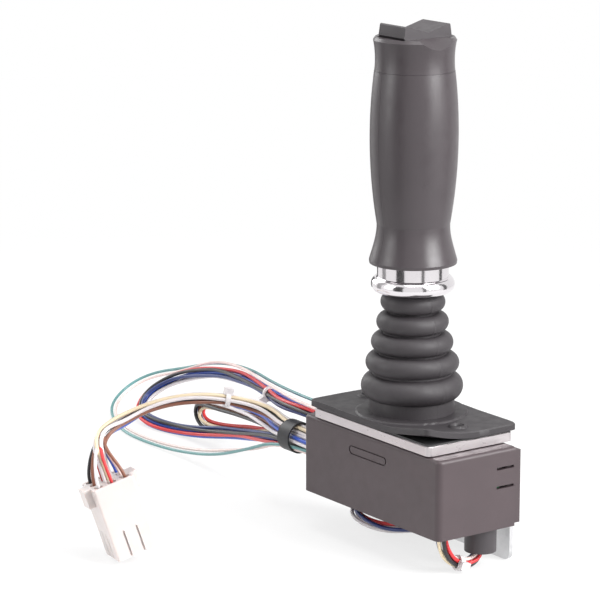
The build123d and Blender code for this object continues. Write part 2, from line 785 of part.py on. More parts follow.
grip_shells = []
for side in (1, -1):
    outer_form = barrel_half(side, 0)
    screw_reach = grip_screw_front if side > 0 else 2 * grip_middle[0]
    with BuildPart() as shell:
        with BuildSketch(across):
            with BuildLine():
                barrel_arc(0)
                Line((grip_top_radius, grip_top), (grip_top_radius - grip_wall, grip_top))
                barrel_arc(grip_wall)
                Line((grip_bottom_radius - grip_wall, grip_bottom), (grip_bottom_radius, grip_bottom))
            make_face()
        revolve(axis=Axis.Z)
        for height in grip_rib_heights:
            with BuildSketch(Plane.XY.offset(height - grip_rib_thick / 2)):
                Circle(grip_middle[0])
            extrude(amount=grip_rib_thick)
        with BuildSketch(Plane.YZ):
            with Locations(*grip_screw_places):
                Circle(grip_boss_radius)
        extrude(amount=side * grip_middle[0])
        add(outer_form, mode=Mode.INTERSECT)
        with BuildSketch(Plane.XY.offset(grip_bottom)):
            Circle(core_radius + fit_gap)
        extrude(amount=grip_top - grip_bottom, mode=Mode.SUBTRACT)
        with BuildSketch(Plane.YZ):
            with Locations(*grip_screw_places):
                Circle(screw_radius + fit_gap)
        extrude(amount=side * screw_reach, mode=Mode.SUBTRACT)
        if side < 0:
            with BuildSketch(Plane.YZ.offset(grip_screw_head_place)):
                with Locations(*grip_screw_places):
                    Circle(screw_head_radius + side_gap)
            extrude(amount=-grip_middle[0], mode=Mode.SUBTRACT)
    grip_shells.append(shell)
save(grip_shells[0], "front_grip_shell")
save(grip_shells[1], "rear_grip_shell")

with BuildPart() as grip_screws:
    with BuildSketch(Plane.YZ.offset(grip_screw_head_place)):
        with Locations(*grip_screw_places):
            Circle(screw_radius)
    extrude(amount=grip_screw_front - grip_screw_head_place)
    with BuildSketch(Plane.YZ.offset(grip_screw_head_place)):
        with Locations(*grip_screw_places):
            Circle(screw_head_radius)
    extrude(amount=-screw_head_thick)
save(grip_screws, "grip_screws")


# Head, thumb rocker, its pin and its two switches

with BuildPart() as head_cap:
    with BuildSketch(across):
        with BuildLine():
            seam = (grip_top_radius - grip_parting, grip_top + grip_parting)
            Spline(seam, head_waist, (head_rim_radius, head_rim_height), tangents=[(-0.1, 1), (0.25, 1)])
            Polyline((head_rim_radius, head_rim_height), (head_rim_radius - head_edge, head_deck),
                     (0, head_deck), (0, head_floor_bottom), (head_bore_radius, head_floor_bottom),
                     (head_bore_radius, grip_top - head_spigot_depth),
                     (head_spigot_radius, grip_top - head_spigot_depth), (head_spigot_radius, seam[1]), seam)
        make_face()
    revolve(axis=Axis.Z)
    with BuildSketch(Plane.XY.offset(pocket_floor)):
        Rectangle(2 * pocket_half_length, 2 * pocket_half_width)
    extrude(amount=head_deck - pocket_floor, mode=Mode.SUBTRACT)
    slope = radians(scoop_slope)
    scoop_origin = (scoop_start + scoop_radius * sin(slope), 0, head_deck + scoop_radius * cos(slope))
    scoop_axis = Plane(origin=scoop_origin, z_dir=(cos(slope), 0, -sin(slope)))
    with BuildSketch(scoop_axis):
        Circle(scoop_radius)
    extrude(amount=head_rim_radius, mode=Mode.SUBTRACT)
    with BuildSketch(Plane.YZ.offset(rocker_pin_front)):
        with Locations((0, rocker_pin_height)):
            Circle(rocker_pin_radius + fit_gap)
    extrude(amount=-2 * head_rim_radius, mode=Mode.SUBTRACT)
save(head_cap, "head_cap")

with BuildPart() as head_board:
    with BuildSketch(Plane.XY.offset(pocket_floor)):
        Rectangle(2 * head_board_half_length, 2 * head_board_half_width)
    extrude(amount=head_board_thick)
save(head_board, "head_board")

with BuildPart() as rocker_switches:
    with BuildSketch(Plane.XY.offset(pocket_floor + head_board_thick)):
        with Locations((0, -tact_place), (0, tact_place)):
            Rectangle(tact_size, tact_size)
    extrude(amount=tact_height)
    with BuildSketch(Plane.XY.offset(pocket_floor + head_board_thick + tact_height)):
        with Locations((0, -tact_place), (0, tact_place)):
            Circle(tact_button_radius)
    extrude(amount=tact_button_top - pocket_floor - head_board_thick - tact_height)
save(rocker_switches, "rocker_switches")

with BuildPart() as rocker_pin:
    with BuildSketch(Plane.YZ.offset(rocker_pin_rear)):
        with Locations((0, rocker_pin_height)):
            Circle(rocker_pin_radius)
    extrude(amount=rocker_pin_front - rocker_pin_rear)
save(rocker_pin, "rocker_pin")

with BuildPart() as thumb_rocker:
    with BuildSketch(Plane.YZ.offset(-rocker_half_length)):
        with BuildLine():
            Polyline((-rocker_base[0], rocker_base[1]), (-rocker_peak[0], rocker_peak[1]), (0, rocker_valley),
                     rocker_peak, rocker_base, rocker_keel,
                     (rocker_boss_half_width, rocker_keel[1]),
                     (rocker_boss_half_width, rocker_pin_height - rocker_boss_half_width),
                     (-rocker_boss_half_width, rocker_pin_height - rocker_boss_half_width),
                     (-rocker_boss_half_width, rocker_keel[1]),
                     (-rocker_keel[0], rocker_keel[1]), close=True)
        make_face()
    extrude(amount=2 * rocker_half_length)
    fillet(thumb_rocker.edges().filter_by(Axis.X).group_by(Axis.Z)[-1], rocker_edge)
    with BuildSketch(Plane.YZ.offset(-rocker_half_length)):
        with Locations((0, rocker_pin_height)):
            Circle(rocker_pin_radius + running_gap)
    extrude(amount=2 * rocker_half_length, mode=Mode.SUBTRACT)
save(thumb_rocker, "thumb_rocker")


# Limit switches and their screws

switch_bottom = switch_top - switch_height
switch_rear = rear_cheek_front
switch_front = switch_rear - switch_width
switch_middle = switch_rear - switch_width / 2
screw_tip = frame_rear - fit_gap

for side, name in ((-1, "left_limit_switch"), (1, "right_limit_switch")):
    body_middle = side * (switch_inner_end + switch_length / 2)
    with BuildPart() as limit_switch:
        with BuildSketch(at_front(switch_rear)):
            with Locations((body_middle, (switch_top + switch_bottom) / 2)):
                Rectangle(switch_length, switch_height)
            with Locations(*[(side * x, z) for x, z in switch_screw_places]):
                Circle(switch_screw_radius + fit_gap, mode=Mode.SUBTRACT)
        extrude(amount=switch_width)
        with BuildSketch(Plane.XY.offset(switch_top)):
            with Locations((side * (switch_inner_end + plunger_place), switch_middle)):
                Rectangle(plunger_size, switch_width / 2)
        extrude(amount=plunger_rise)
        with BuildSketch(Plane.XY.offset(switch_bottom)):
            terminal_middles = [(side * (switch_inner_end + place), switch_middle)
                                for place in terminal_places]
            with Locations(*terminal_middles):
                Rectangle(terminal_thick, terminal_width)
        extrude(amount=-terminal_length)
    save(limit_switch, name)

with BuildPart() as switch_screws:
    with BuildSketch(at_front(screw_tip)):
        with Locations(*both_ways(switch_screw_places)):
            Circle(switch_screw_radius)
    extrude(amount=screw_tip - switch_front)
    with BuildSketch(at_front(switch_front)):
        with Locations(*both_ways(switch_screw_places)):
            Circle(switch_screw_head_radius)
    extrude(amount=switch_screw_head_thick)
save(switch_screws, "switch_screws")


# Cover box, rear rim, bracket and their rivets

box_depth = box_rear - box_front
box_middle = (box_rear + box_front) / 2
inner_half_length = box_half_length - box_wall
box_ceiling = box_top - box_wall

with BuildPart() as cover_box:
    with BuildSketch(Plane.XY.offset(box_bottom)) as footprint:
        with Locations((0, box_middle)):
            Rectangle(2 * box_half_length, box_depth)
        fillet(footprint.vertices().group_by(Axis.Y)[0], box_front_corner)
    extrude(amount=box_top - box_bottom)
    top_rim = cover_box.faces().sort_by(Axis.Z)[-1].edges().sort_by(Axis.Y)[:-1]
    fillet(top_rim, box_top_edge)
    with BuildSketch(Plane.XY.offset(box_bottom)) as inside:
        with Locations((0, box_middle + box_wall)):
            Rectangle(2 * inner_half_length, box_depth)
        fillet(inside.vertices().group_by(Axis.Y)[0], box_front_corner - box_wall)
    extrude(amount=box_ceiling - box_bottom, mode=Mode.SUBTRACT)
    with BuildSketch(Plane.XY.offset(box_ceiling)):
        with Locations((0, (box_rear + box_notch_front) / 2)):
            Rectangle(2 * box_notch_half_length, box_rear - box_notch_front)
        with Locations((-mount_spacing / 2, 0), (mount_spacing / 2, 0)):
            Circle(box_screw_clearance / 2)
    extrude(amount=box_wall, mode=Mode.SUBTRACT)
    with BuildSketch(at_front(box_front)):
        with Locations((groove_middle, groove_height)):
            SlotOverall(groove_length, groove_width)
            SlotOverall(groove_length - 2 * groove_line, groove_width - 2 * groove_line, mode=Mode.SUBTRACT)
    extrude(amount=-groove_depth, mode=Mode.SUBTRACT)
    with BuildSketch(at_front(box_rear - snap_slit_length)):
        for height in snap_slit_heights:
            with Locations((0, height)):
                Rectangle(2 * box_half_length, snap_slit_width)
    extrude(amount=-snap_slit_length, mode=Mode.SUBTRACT)
    with BuildSketch(Plane.YZ.offset(-box_half_length)):
        with Locations(((outlet_front + outlet_rear) / 2, (outlet_bottom + outlet_top) / 2)):
            Rectangle(outlet_rear - outlet_front, outlet_top - outlet_bottom)
    extrude(amount=box_wall, mode=Mode.SUBTRACT)
save(cover_box, "cover_box")

rim_depth = bracket_front - box_rear
lip_half_length = inner_half_length - side_gap
lip_top = box_ceiling - side_gap

with BuildPart() as rear_rim:
    with BuildSketch(at_front(bracket_front)):
        with Locations((0, (rim_top + rim_bottom) / 2)):
            Rectangle(2 * rim_half_length, rim_top - rim_bottom)
            Rectangle(2 * (rim_half_length - rim_bar), rim_top - rim_bottom - 2 * rim_bar, mode=Mode.SUBTRACT)
        for x, z in rim_rivet_places:
            tab_length = rim_half_length - rim_tab_inner
            tab_middle = (rim_half_length - tab_length / 2) * (1 if x > 0 else -1)
            tab_bottom = max(z - rim_tab_height / 2, rim_bottom)
            tab_top = z + rim_tab_height / 2
            with Locations((tab_middle, (tab_bottom + tab_top) / 2)):
                Rectangle(tab_length, tab_top - tab_bottom)
        with Locations(*rim_rivet_places):
            Circle(frame_rivet_radius + fit_gap, mode=Mode.SUBTRACT)
    extrude(amount=rim_depth)
    with BuildSketch(at_front(box_rear)):
        with Locations((0, (lip_top + rim_bottom) / 2)):
            Rectangle(2 * lip_half_length, lip_top - rim_bottom)
        with Locations((0, (lip_top - rim_lip_wall + rim_bottom) / 2)):
            Rectangle(2 * (lip_half_length - rim_lip_wall), lip_top - rim_lip_wall - rim_bottom,
                      mode=Mode.SUBTRACT)
    extrude(amount=rim_lip_depth)
save(rear_rim, "rear_rim")

bracket_rear = bracket_front + bracket_sheet

with BuildPart() as frame_bracket:
    with BuildSketch(at_front(bracket_rear)):
        with Locations((0, (bracket_top + bracket_bottom) / 2)):
            RectangleRounded(2 * bracket_half_length, bracket_top - bracket_bottom, bracket_corner)
        with Locations(*rim_rivet_places):
            Circle(frame_rivet_radius + fit_gap, mode=Mode.SUBTRACT)
        with Locations(*rear_screw_hole_places()):
            Circle(screw_radius + fit_gap, mode=Mode.SUBTRACT)
    extrude(amount=bracket_sheet)
    with BuildSketch(Plane.XY.offset(shelf_top - bracket_sheet)):
        with Locations(((shelf_neck_inner + shelf_neck_outer) / 2, (shelf_rear + bracket_front) / 2)):
            Rectangle(shelf_neck_outer - shelf_neck_inner, bracket_front - shelf_rear)
        with Locations(((shelf_neck_inner + shelf_outer) / 2, (shelf_front + shelf_rear) / 2)):
            Rectangle(shelf_outer - shelf_neck_inner, shelf_rear - shelf_front)
        with Locations(sleeve_place):
            Circle(sleeve_neck_radius + fit_gap, mode=Mode.SUBTRACT)
    extrude(amount=bracket_sheet)
save(frame_bracket, "frame_bracket")

with BuildPart() as rim_rivets:
    with BuildSketch(at_front(bracket_rear)):
        with Locations(*rim_rivet_places):
            Circle(frame_rivet_radius)
    extrude(amount=bracket_rear - box_rear)
    with BuildSketch(at_front(box_rear)):
        with Locations(*rim_rivet_places):
            Circle(rivet_head_radius)
    extrude(amount=rivet_head_thick)
    with BuildSketch(at_front(bracket_rear + rivet_head_thick)):
        with Locations(*rim_rivet_places):
            Circle(rivet_head_radius)
    extrude(amount=rivet_head_thick)
save(rim_rivets, "rim_rivets")

shelf_bottom = shelf_top - bracket_sheet

with BuildPart() as wire_sleeve:
    for low, high, radius in ((sleeve_bottom, shelf_bottom, sleeve_radius),
                              (shelf_bottom, shelf_top, sleeve_neck_radius),
                              (shelf_top, shelf_top + sleeve_flange_thick, sleeve_flange_radius)):
        with BuildSketch(Plane.XY.offset(low)):
            with Locations(sleeve_place):
                Circle(radius)
        extrude(amount=high - low)
    with BuildSketch(Plane.XY.offset(sleeve_bottom)):
        with Locations(sleeve_place):
            Circle(sleeve_bore_radius)
    extrude(amount=sleeve_bore_top - sleeve_bottom, mode=Mode.SUBTRACT)
save(wire_sleeve, "wire_sleeve")


# Circuit board, sensor chip, headers, spacers and screws

board_rear = board_front + board_thick

with BuildPart() as circuit_board:
    with BuildSketch(at_front(board_rear)):
        with Locations((0, (board_top + board_bottom) / 2)):
            Rectangle(2 * board_half_length, board_top - board_bottom)
        with Locations(*rear_screw_hole_places()):
            Circle(screw_radius + fit_gap, mode=Mode.SUBTRACT)
    extrude(amount=board_thick)
save(circuit_board, "circuit_board")

with BuildPart() as sensor_chip:
    with BuildSketch(at_front(board_front)):
        with Locations((0, pivot_height)):
            Rectangle(chip_size, chip_size)
    extrude(amount=chip_thick)
save(sensor_chip, "sensor_chip")

with BuildPart() as board_headers:
    for low_x, high_x, low_z, high_z in (left_header, right_header):
        with BuildSketch(at_front(board_front)):
            with Locations(((low_x + high_x) / 2, (low_z + high_z) / 2)):
                Rectangle(high_x - low_x, high_z - low_z)
        extrude(amount=header_depth)
save(board_headers, "board_headers")

with BuildPart() as board_spacers:
    for rear, front in ((board_front, frame_rear), (bracket_front, board_rear)):
        with BuildSketch(at_front(rear)):
            with Locations(*rear_screw_hole_places()):
                Circle(spacer_radius)
                Circle(screw_radius + fit_gap, mode=Mode.SUBTRACT)
        extrude(amount=rear - front)
save(board_spacers, "board_spacers")

with BuildPart() as bracket_screws:
    with BuildSketch(at_front(bracket_rear)):
        with Locations(*rear_screw_hole_places()):
            Circle(screw_radius)
    extrude(amount=bracket_rear - rear_cheek_front - fit_gap)
    with BuildSketch(at_front(bracket_rear + screw_head_thick)):
        with Locations(*rear_screw_hole_places()):
            Circle(screw_head_radius)
    extrude(amount=screw_head_thick)
save(bracket_screws, "bracket_screws")


# Wire outlet in the left end wall

outlet_middle = ((outlet_front + outlet_rear) / 2, (outlet_bottom + outlet_top) / 2)
outlet_width = outlet_rear - outlet_front
outlet_height = outlet_top - outlet_bottom

with BuildPart() as wire_outlet:
    with BuildSketch(Plane.YZ.offset(-box_half_length)):
        with Locations(outlet_middle):
            Rectangle(outlet_width - 2 * fit_gap, outlet_height - 2 * fit_gap)
    extrude(amount=box_wall)
    with BuildSketch(Plane.YZ.offset(outlet_face)):
        with Locations((outlet_middle[0], (outlet_bottom - outlet_lip + outlet_head_top) / 2)):
            Rectangle(outlet_width + 2 * outlet_lip, outlet_head_top - outlet_bottom + outlet_lip)
    extrude(amount=-box_half_length - outlet_face)
    with BuildSketch(Plane.YZ.offset(-inner_half_length)):
        with Locations(outlet_middle):
            Rectangle(outlet_width + 2 * outlet_lip, outlet_height + 2 * outlet_lip)
    extrude(amount=outlet_inner_face + inner_half_length)
save(wire_outlet, "wire_outlet")


# Wire bundles: straight runs joined by arcs as large as the runs allow


def corner_radii(points):
    """Radius of each corner's arc: a share of the shorter run over the tangent of half the turn."""
    vectors = [Vector(*after) - Vector(*before) for before, after in zip(points, points[1:])]
    radii = []
    for before, after in zip(vectors, vectors[1:]):
        half_turn = radians(before.get_angle(after) / 2)
        radii.append(corner_share * min(before.length, after.length) / tan(half_turn))
    return radii


def make_cord(points, diameter, name):
    """A tube of one diameter along a route, saved under its name."""
    radii = corner_radii(points)
    with BuildPart() as cord:
        with BuildLine():
            path = FilletPolyline(*points, radius=radii)
        with BuildSketch(Plane(origin=path @ 0, z_dir=path % 0)):
            Circle(diameter / 2)
        sweep(path=path)
    expected = pi * diameter ** 2 / 4 * path.length
    print(name, "radii", [round(radius, 1) for radius in radii], "length", round(path.length, 1),
          "volume", round(cord.part.volume), "of", round(expected))
    save(cord, name)


make_cord(outer_route, bundle_diameter, "outer_loop")
make_cord(inner_route, loop_diameter, "inner_loop")
make_cord(lead_route, bundle_diameter, "connector_lead")
make_cord(thin_outer_route, thin_diameter, "thin_wire_outer")
make_cord(thin_inner_route, thin_diameter, "thin_wire_inner")
make_cord(under_left_route, loop_diameter, "under_loop_left")
make_cord(under_front_route, loop_diameter, "under_loop_front")
make_cord(inner_lead_route, inner_lead_diameter, "inner_lead")


# Band and ties on the bundles

with BuildPart() as harness_band:
    with BuildSketch(Plane.YZ.offset(band_place[0] - band_length / 2)):
        with Locations(band_place[1:]):
            Circle(band_bore_radius + band_wall)
            Circle(band_bore_radius, mode=Mode.SUBTRACT)
    extrude(amount=band_length)
save(harness_band, "harness_band")


def make_tie(points, leg, share, bundle, head_side, name):
    """A tie: a strap round the bundle on one run of its route, with its square head beside it."""
    start = Vector(*points[leg])
    along = Vector(*points[leg + 1]) - start
    middle = start + along * share
    strap = Plane(origin=middle, x_dir=Vector(*head_side), z_dir=along)
    inner = bundle / 2 + side_gap
    with BuildPart() as tie:
        with BuildSketch(strap.offset(-tie_width / 2)):
            Circle(inner + tie_wall)
            Circle(inner, mode=Mode.SUBTRACT)
        extrude(amount=tie_width)
        with BuildSketch(strap.offset(-tie_head[0] / 2)):
            with Locations((inner + tie_head[2] / 2, 0)):
                Rectangle(tie_head[2], tie_head[1])
        extrude(amount=tie_head[0])
    save(tie, name)


make_tie(outer_route, 2, 0.42, bundle_diameter, (-0.3, -0.75, -0.6), "outer_tie")
make_tie(lead_route, 3, 0.5, bundle_diameter, (0.2, 0.3, 0.95), "lead_tie")
make_tie(under_front_route, 2, 0.5, loop_diameter, (0.9, 0.1, -0.1), "under_tie")


# Nine-way connector at the end of the lead

housing_front = Plane(origin=housing_entry, x_dir=housing_row, z_dir=housing_axis)

with BuildPart() as connector_housing:
    with BuildSketch(housing_front):
        RectangleRounded(housing_width, housing_width, 1)
    extrude(amount=housing_length)
    with BuildSketch(housing_front):
        with GridLocations(housing_pitch, housing_pitch, 3, 3):
            Circle(housing_wire_bore)
    extrude(amount=housing_wire_depth, mode=Mode.SUBTRACT)
    with BuildSketch(housing_front.offset(housing_length - housing_slot_length)):
        for side in (-1, 1):
            for place in (-housing_pitch / 2, housing_pitch / 2):
                with Locations((place, side * (housing_width - housing_slot_depth) / 2)):
                    Rectangle(housing_slot_width, housing_slot_depth)
                with Locations((side * (housing_width - housing_slot_depth) / 2, place)):
                    Rectangle(housing_slot_depth, housing_slot_width)
    extrude(amount=housing_slot_length, mode=Mode.SUBTRACT)
    with BuildSketch(housing_front):
        for side in (-1, 1):
            with Locations((side * (housing_width + ear_reach) / 2, 0)):
                Rectangle(ear_reach, ear_width)
    extrude(amount=ear_length)
save(connector_housing, "connector_housing")

with BuildPart() as connector_terminals:
    with BuildSketch(housing_front.offset(housing_wire_depth - connector_terminal_length)):
        with GridLocations(housing_pitch, housing_pitch, 3, 3):
            Circle(terminal_radius)
    extrude(amount=connector_terminal_length)
save(connector_terminals, "connector_terminals")
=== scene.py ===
"""Looks of the industrial joystick: boot, polished ring, grip, box, wires and connector round the CAD frame.

Everything is in metres in the CAD model's own frame: +Z up the lever, +X along the plate's long side,
the origin at the centre of the plate's upper face.
"""

import math

import bmesh
import bpy
import numpy as np
from bpy.props import FloatProperty, FloatVectorProperty, PointerProperty
from mathutils import Matrix, Vector


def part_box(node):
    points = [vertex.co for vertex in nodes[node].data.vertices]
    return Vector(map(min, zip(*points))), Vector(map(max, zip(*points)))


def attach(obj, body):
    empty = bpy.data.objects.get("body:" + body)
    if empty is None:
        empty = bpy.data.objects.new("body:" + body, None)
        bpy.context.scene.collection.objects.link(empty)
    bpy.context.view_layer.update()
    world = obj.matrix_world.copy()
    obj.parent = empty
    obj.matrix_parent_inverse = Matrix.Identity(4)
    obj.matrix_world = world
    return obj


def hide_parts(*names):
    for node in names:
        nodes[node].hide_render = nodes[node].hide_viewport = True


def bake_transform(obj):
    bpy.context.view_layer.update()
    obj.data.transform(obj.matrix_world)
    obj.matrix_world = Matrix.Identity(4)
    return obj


bl_info = {
    "name": "Industrial joystick looks",
    "version": (1, 0, 0),
    "blender": (4, 5, 0),
    "location": "View3D > Sidebar > Joystick",
    "description": "Builds the boot, wires, finishes and stage of an industrial joystick round its CAD frame",
    "category": "Object",
}

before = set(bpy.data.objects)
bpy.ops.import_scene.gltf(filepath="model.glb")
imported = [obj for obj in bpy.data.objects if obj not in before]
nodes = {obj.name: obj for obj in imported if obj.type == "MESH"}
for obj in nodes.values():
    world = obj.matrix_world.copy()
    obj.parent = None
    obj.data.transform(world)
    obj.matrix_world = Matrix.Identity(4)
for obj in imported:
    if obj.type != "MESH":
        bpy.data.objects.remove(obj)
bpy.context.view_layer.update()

# Camera of the photograph: place in metres, angles in degrees, lens and sensor in millimetres
CAMERA_PLACE = (1.02119, -0.79251, 0.34841)
CAMERA_AZIMUTH = 54.52
CAMERA_ELEVATION = 12.70
CAMERA_LENS = 170.08
CAMERA_SENSOR = 36.0

# Bellows: radius and height of each fold's crease and crown
CREASES = [
    (0.0202, 0.0105), (0.0190, 0.0230), (0.0162, 0.0328),
    (0.0137, 0.0424), (0.0111, 0.0520), (0.0106, 0.0617),
]
CROWNS = [(0.0240, 0.0175), (0.0220, 0.0284), (0.0193, 0.0382), (0.0170, 0.0472), (0.0152, 0.0568)]
CREASE_HALF_HEIGHT = 0.0004
BOOT_WALL = 0.0018
CROWN_WALL = 0.0026
COLLAR_RADIUS = 0.0063
MOULD_LINE_WIDTH = 0.00045
BOOT_FOOT_RISE = 0.001
FOLD_POINTS = 22
BELLOWS_SEGMENTS = 256

# Slow unevenness of the folds: its height, waves round the boot, and radians a metre up it
FOLD_WAVE_HEIGHT = 0.00012
FOLD_WAVES_ROUND = 3
FOLD_WAVE_CLIMB = 210

# Flange of the boot, and its corners' roundness as the power of a mean
FLANGE_HALF_LENGTH = 0.046
FLANGE_HALF_WIDTH = 0.027
FLANGE_BOTTOM = 0.0008
FLANGE_TOP = 0.0038
FLANGE_HOLE = 0.0184
FLANGE_RING = 0.0266
MOUNT_HALF_SPACING = 0.035
MOUNT_HOLE_RADIUS = 0.00275
EYE_RADIUS = 0.0046
EYE_RISE = 0.0010
RING_RISE = 0.0008
CORNER_POWER = 22.0
FLANGE_ANGLES = 720
FLANGE_RINGS = 46
FLANGE_RINGS_SHARE = 0.97
FLANGE_EDGE_SHARES = [0.985, 1.0]
RING_SLOPE = 0.0006
EYE_SLOPE = 0.0005
EDGE_ROUND = 0.0005
HOLE_SIDES = 48
HOLE_REACH = 0.02

# Curl of the flange's near corner: where it starts, how it leans to each axis, and its reach
CURL_START_X = 0.024
CURL_START_Y = 0.012
CURL_LEAN_X = 0.62
CURL_LEAN_Y = 0.78
CURL_REACH = 0.0215

# Wave of the flange's edge, in radians a metre along each axis
EDGE_WAVE_X = 95
EDGE_WAVE_Y = 60

# Lock ring: radii and heights
RING_RADIUS = 0.0196
RING_BOTTOM = 0.0623
RING_TOP = 0.0687
RING_NECK_RADIUS = 0.0168
RING_NECK_TOP = 0.0775
RING_BORE = 0.0062
RING_CUP_RADIUS = 0.0100
RING_CUP_FLOOR = 0.0705
RING_EDGE = 0.0004
RING_EDGE_POINTS = 28

# Routes of the wires: the same points as the CAD tubes have
OUTER_ROUTE = [
    (-0.055, -0.0065, -0.0119), (-0.078, -0.0065, -0.0119), (-0.104, -0.002, -0.014),
    (-0.157, 0.019, -0.018), (-0.208, 0.034, -0.025), (-0.245, 0.039, -0.034), (-0.267, 0.037, -0.042),
    (-0.277, 0.028, -0.051), (-0.27, 0.018, -0.0585), (-0.25, 0.015, -0.0602), (-0.226, 0.021, -0.06),
    (-0.178, 0.019, -0.05), (-0.126, 0.003, -0.0375), (-0.09, -0.009, -0.0292), (-0.055, -0.009, -0.0292),
]
INNER_ROUTE = [
    (-0.055, -0.0126, -0.0255), (-0.088, -0.0126, -0.0255), (-0.135, 0.008, -0.0305),
    (-0.18, 0.021, -0.038), (-0.21, 0.0285, -0.0428), (-0.2235, 0.031, -0.0448), (-0.2305, 0.0323, -0.048),
    (-0.231, 0.0324, -0.054), (-0.225, 0.032, -0.0576), (-0.214, 0.0318, -0.0573), (-0.192, 0.029, -0.053),
    (-0.146, 0.016, -0.042), (-0.108, 0.003, -0.031), (-0.086, -0.0054, -0.0255),
    (-0.055, -0.0054, -0.0255),
]
LEAD_ROUTE = [
    (-0.055, -0.009, -0.0218), (-0.086, -0.009, -0.0218), (-0.11, -0.005, -0.019), (-0.123, -0.013, -0.016),
    (-0.129, -0.027, -0.013), (-0.13, -0.048, -0.011), (-0.122, -0.071, -0.01), (-0.106, -0.096, -0.01),
    (-0.09, -0.112, -0.007), (-0.078, -0.123, -0.0055), (-0.0705, -0.1295, -0.008),
    (-0.06825, -0.13, -0.01495), (-0.0667, -0.1275, -0.024),
]
THIN_OUTER_ROUTE = [
    (-0.055, -0.002, -0.0073), (-0.078, -0.002, -0.0073), (-0.13, 0.013, -0.0125), (-0.185, 0.034, -0.018),
    (-0.233, 0.045, -0.026), (-0.268, 0.048, -0.037), (-0.297, 0.045, -0.045), (-0.308, 0.035, -0.053),
    (-0.301, 0.019, -0.06), (-0.277, 0.005, -0.062), (-0.25, -0.004, -0.062), (-0.224, -0.005, -0.062),
    (-0.196, -0.004, -0.0605), (-0.16, -0.006, -0.054), (-0.124, -0.011, -0.042), (-0.089, -0.014, -0.0284),
    (-0.055, -0.014, -0.0284),
]
THIN_INNER_ROUTE = [
    (-0.055, -0.01, -0.0073), (-0.078, -0.01, -0.0073), (-0.13, 0.0065, -0.0105), (-0.185, 0.028, -0.016),
    (-0.233, 0.043, -0.025), (-0.266, 0.044, -0.038), (-0.292, 0.039, -0.046), (-0.3, 0.029, -0.054),
    (-0.292, 0.015, -0.06), (-0.268, 0.004, -0.062), (-0.24, -0.001, -0.062), (-0.212, -0.001, -0.061),
    (-0.178, -0.003, -0.056), (-0.146, -0.006, -0.048), (-0.116, -0.0085, -0.04), (-0.09, -0.0127, -0.03),
    (-0.055, -0.0127, -0.03),
]
UNDER_LEFT_ROUTE = [
    (-0.03, 0.0098, -0.042), (-0.03, 0.0098, -0.0475), (-0.0355, 0.0065, -0.0505), (-0.0405, 0, -0.0515),
    (-0.037, -0.0065, -0.0535), (-0.024, -0.009, -0.055), (-0.008, -0.0085, -0.0545),
    (0.004, -0.005, -0.052), (0.012, 0.002, -0.0505), (0.014, 0.0098, -0.0475), (0.014, 0.0098, -0.042),
]
UNDER_FRONT_ROUTE = [
    (0.042, 0.0085, -0.046), (0.042, 0.0085, -0.057), (0.043, 0, -0.0605), (0.0425, -0.0095, -0.0575),
    (0.044, -0.0165, -0.048), (0.044, -0.015, -0.037), (0.041, -0.008, -0.0275), (0.036, 0, -0.0225),
    (0.033, 0.0075, -0.022), (0.033, 0.0152, -0.022),
]

# Wires of each bundle, by the colour's name, from its outer side round
OUTER_WIRES = ["black", "red", "blue", "brown", "white", "navy", "blue"]
INNER_WIRES = ["white", "red", "cream", "black", "white", "blue", "brown"]
LEAD_WIRES = ["blue", "brown", "white", "cream", "white", "red", "black"]
UNDER_LEFT_WIRES = ["white", "red", "navy", "white"]
UNDER_FRONT_WIRES = ["navy", "cream", "black", "red", "pink"]
BUNDLE_DIAMETER = 0.0050
SMALL_BUNDLE_DIAMETER = 0.0046
THIN_DIAMETER = 0.0016
TIGHT_SHARE = 1.03
LOOSE_SHARE = 1.22
GATHER_LENGTH = 0.013
EXIT_LENGTH = 0.03
CORE_COUNT = 7
STATION_SPACING = 0.0015
WIRE_SIDES = 12
ROUTE_ORDER = 3
ROUTE_RESOLUTION = 24

# Each wire's sway round its bundle and wander out of it: rates in radians a metre, steps from wire to wire
SWAY_ANGLE = 0.3
SWAY_RATE = 42
SWAY_STEP = 2.1
WANDER_RATE = 95
WANDER_STEP = 1.7

# Connector: which way it points, and its rows. The tails: how far back they start and how deep they go
HOUSING_AXIS = (0.163, 0.263, -0.951)
HOUSING_ROW = (0.214, 0.932, 0.294)
HOUSING_PITCH = 0.0067
TAIL_START = 0.024
TAIL_DEPTH = 0.006
TAIL_STATIONS = 5
TAIL_STEP_END = 1.25
TAIL_FIRST_SHARE = 0.18
TAIL_WIRES = ["black", "brown", "white", "cream", "red", "blue", "pink", "brown"]

# Middle of the band that draws the bundles together
BAND_MIDDLE = (-0.082, -0.009, -0.0255)

# Floor, which fades out between two distances
FLOOR_HEIGHT = -0.0632
FLOOR_RADIUS = 1.6
FLOOR_SIDES = 96
FLOOR_GREY = 0.93
FLOOR_ROUGHNESS = 0.9
FLOOR_WHITE_SHARE = 0.75
FADE_START = 0.25
FADE_END = 0.8

# Cards that show in reflections: each one's turn round the lever in degrees, its width and its shade
CARD_DISTANCE = 0.42
CARD_TOP = 0.45
STUDIO_CARDS = [(12, 0.20, 0.02), (-52, 0.14, 0.18), (84, 0.07, 0.10), (150, 0.10, 0.05), (255, 0.14, 0.03)]

# Lamps: name, place, size and power in watts
LAMPS = [
    ("right_lamp", (1.0, 0.42, 0.65), (0.7, 0.9), 30),
    ("left_lamp", (-0.35, -1.05, 0.5), (0.45, 0.9), 6),
    ("top_lamp", (0.25, -0.1, 1.25), (0.8, 0.8), 9),
    ("far_left_lamp", (-1.0, -0.1, 0.5), (0.5, 0.8), 5),
]
LAMP_TARGET = (0, 0, 0.05)
WORLD_LIGHT = 0.3

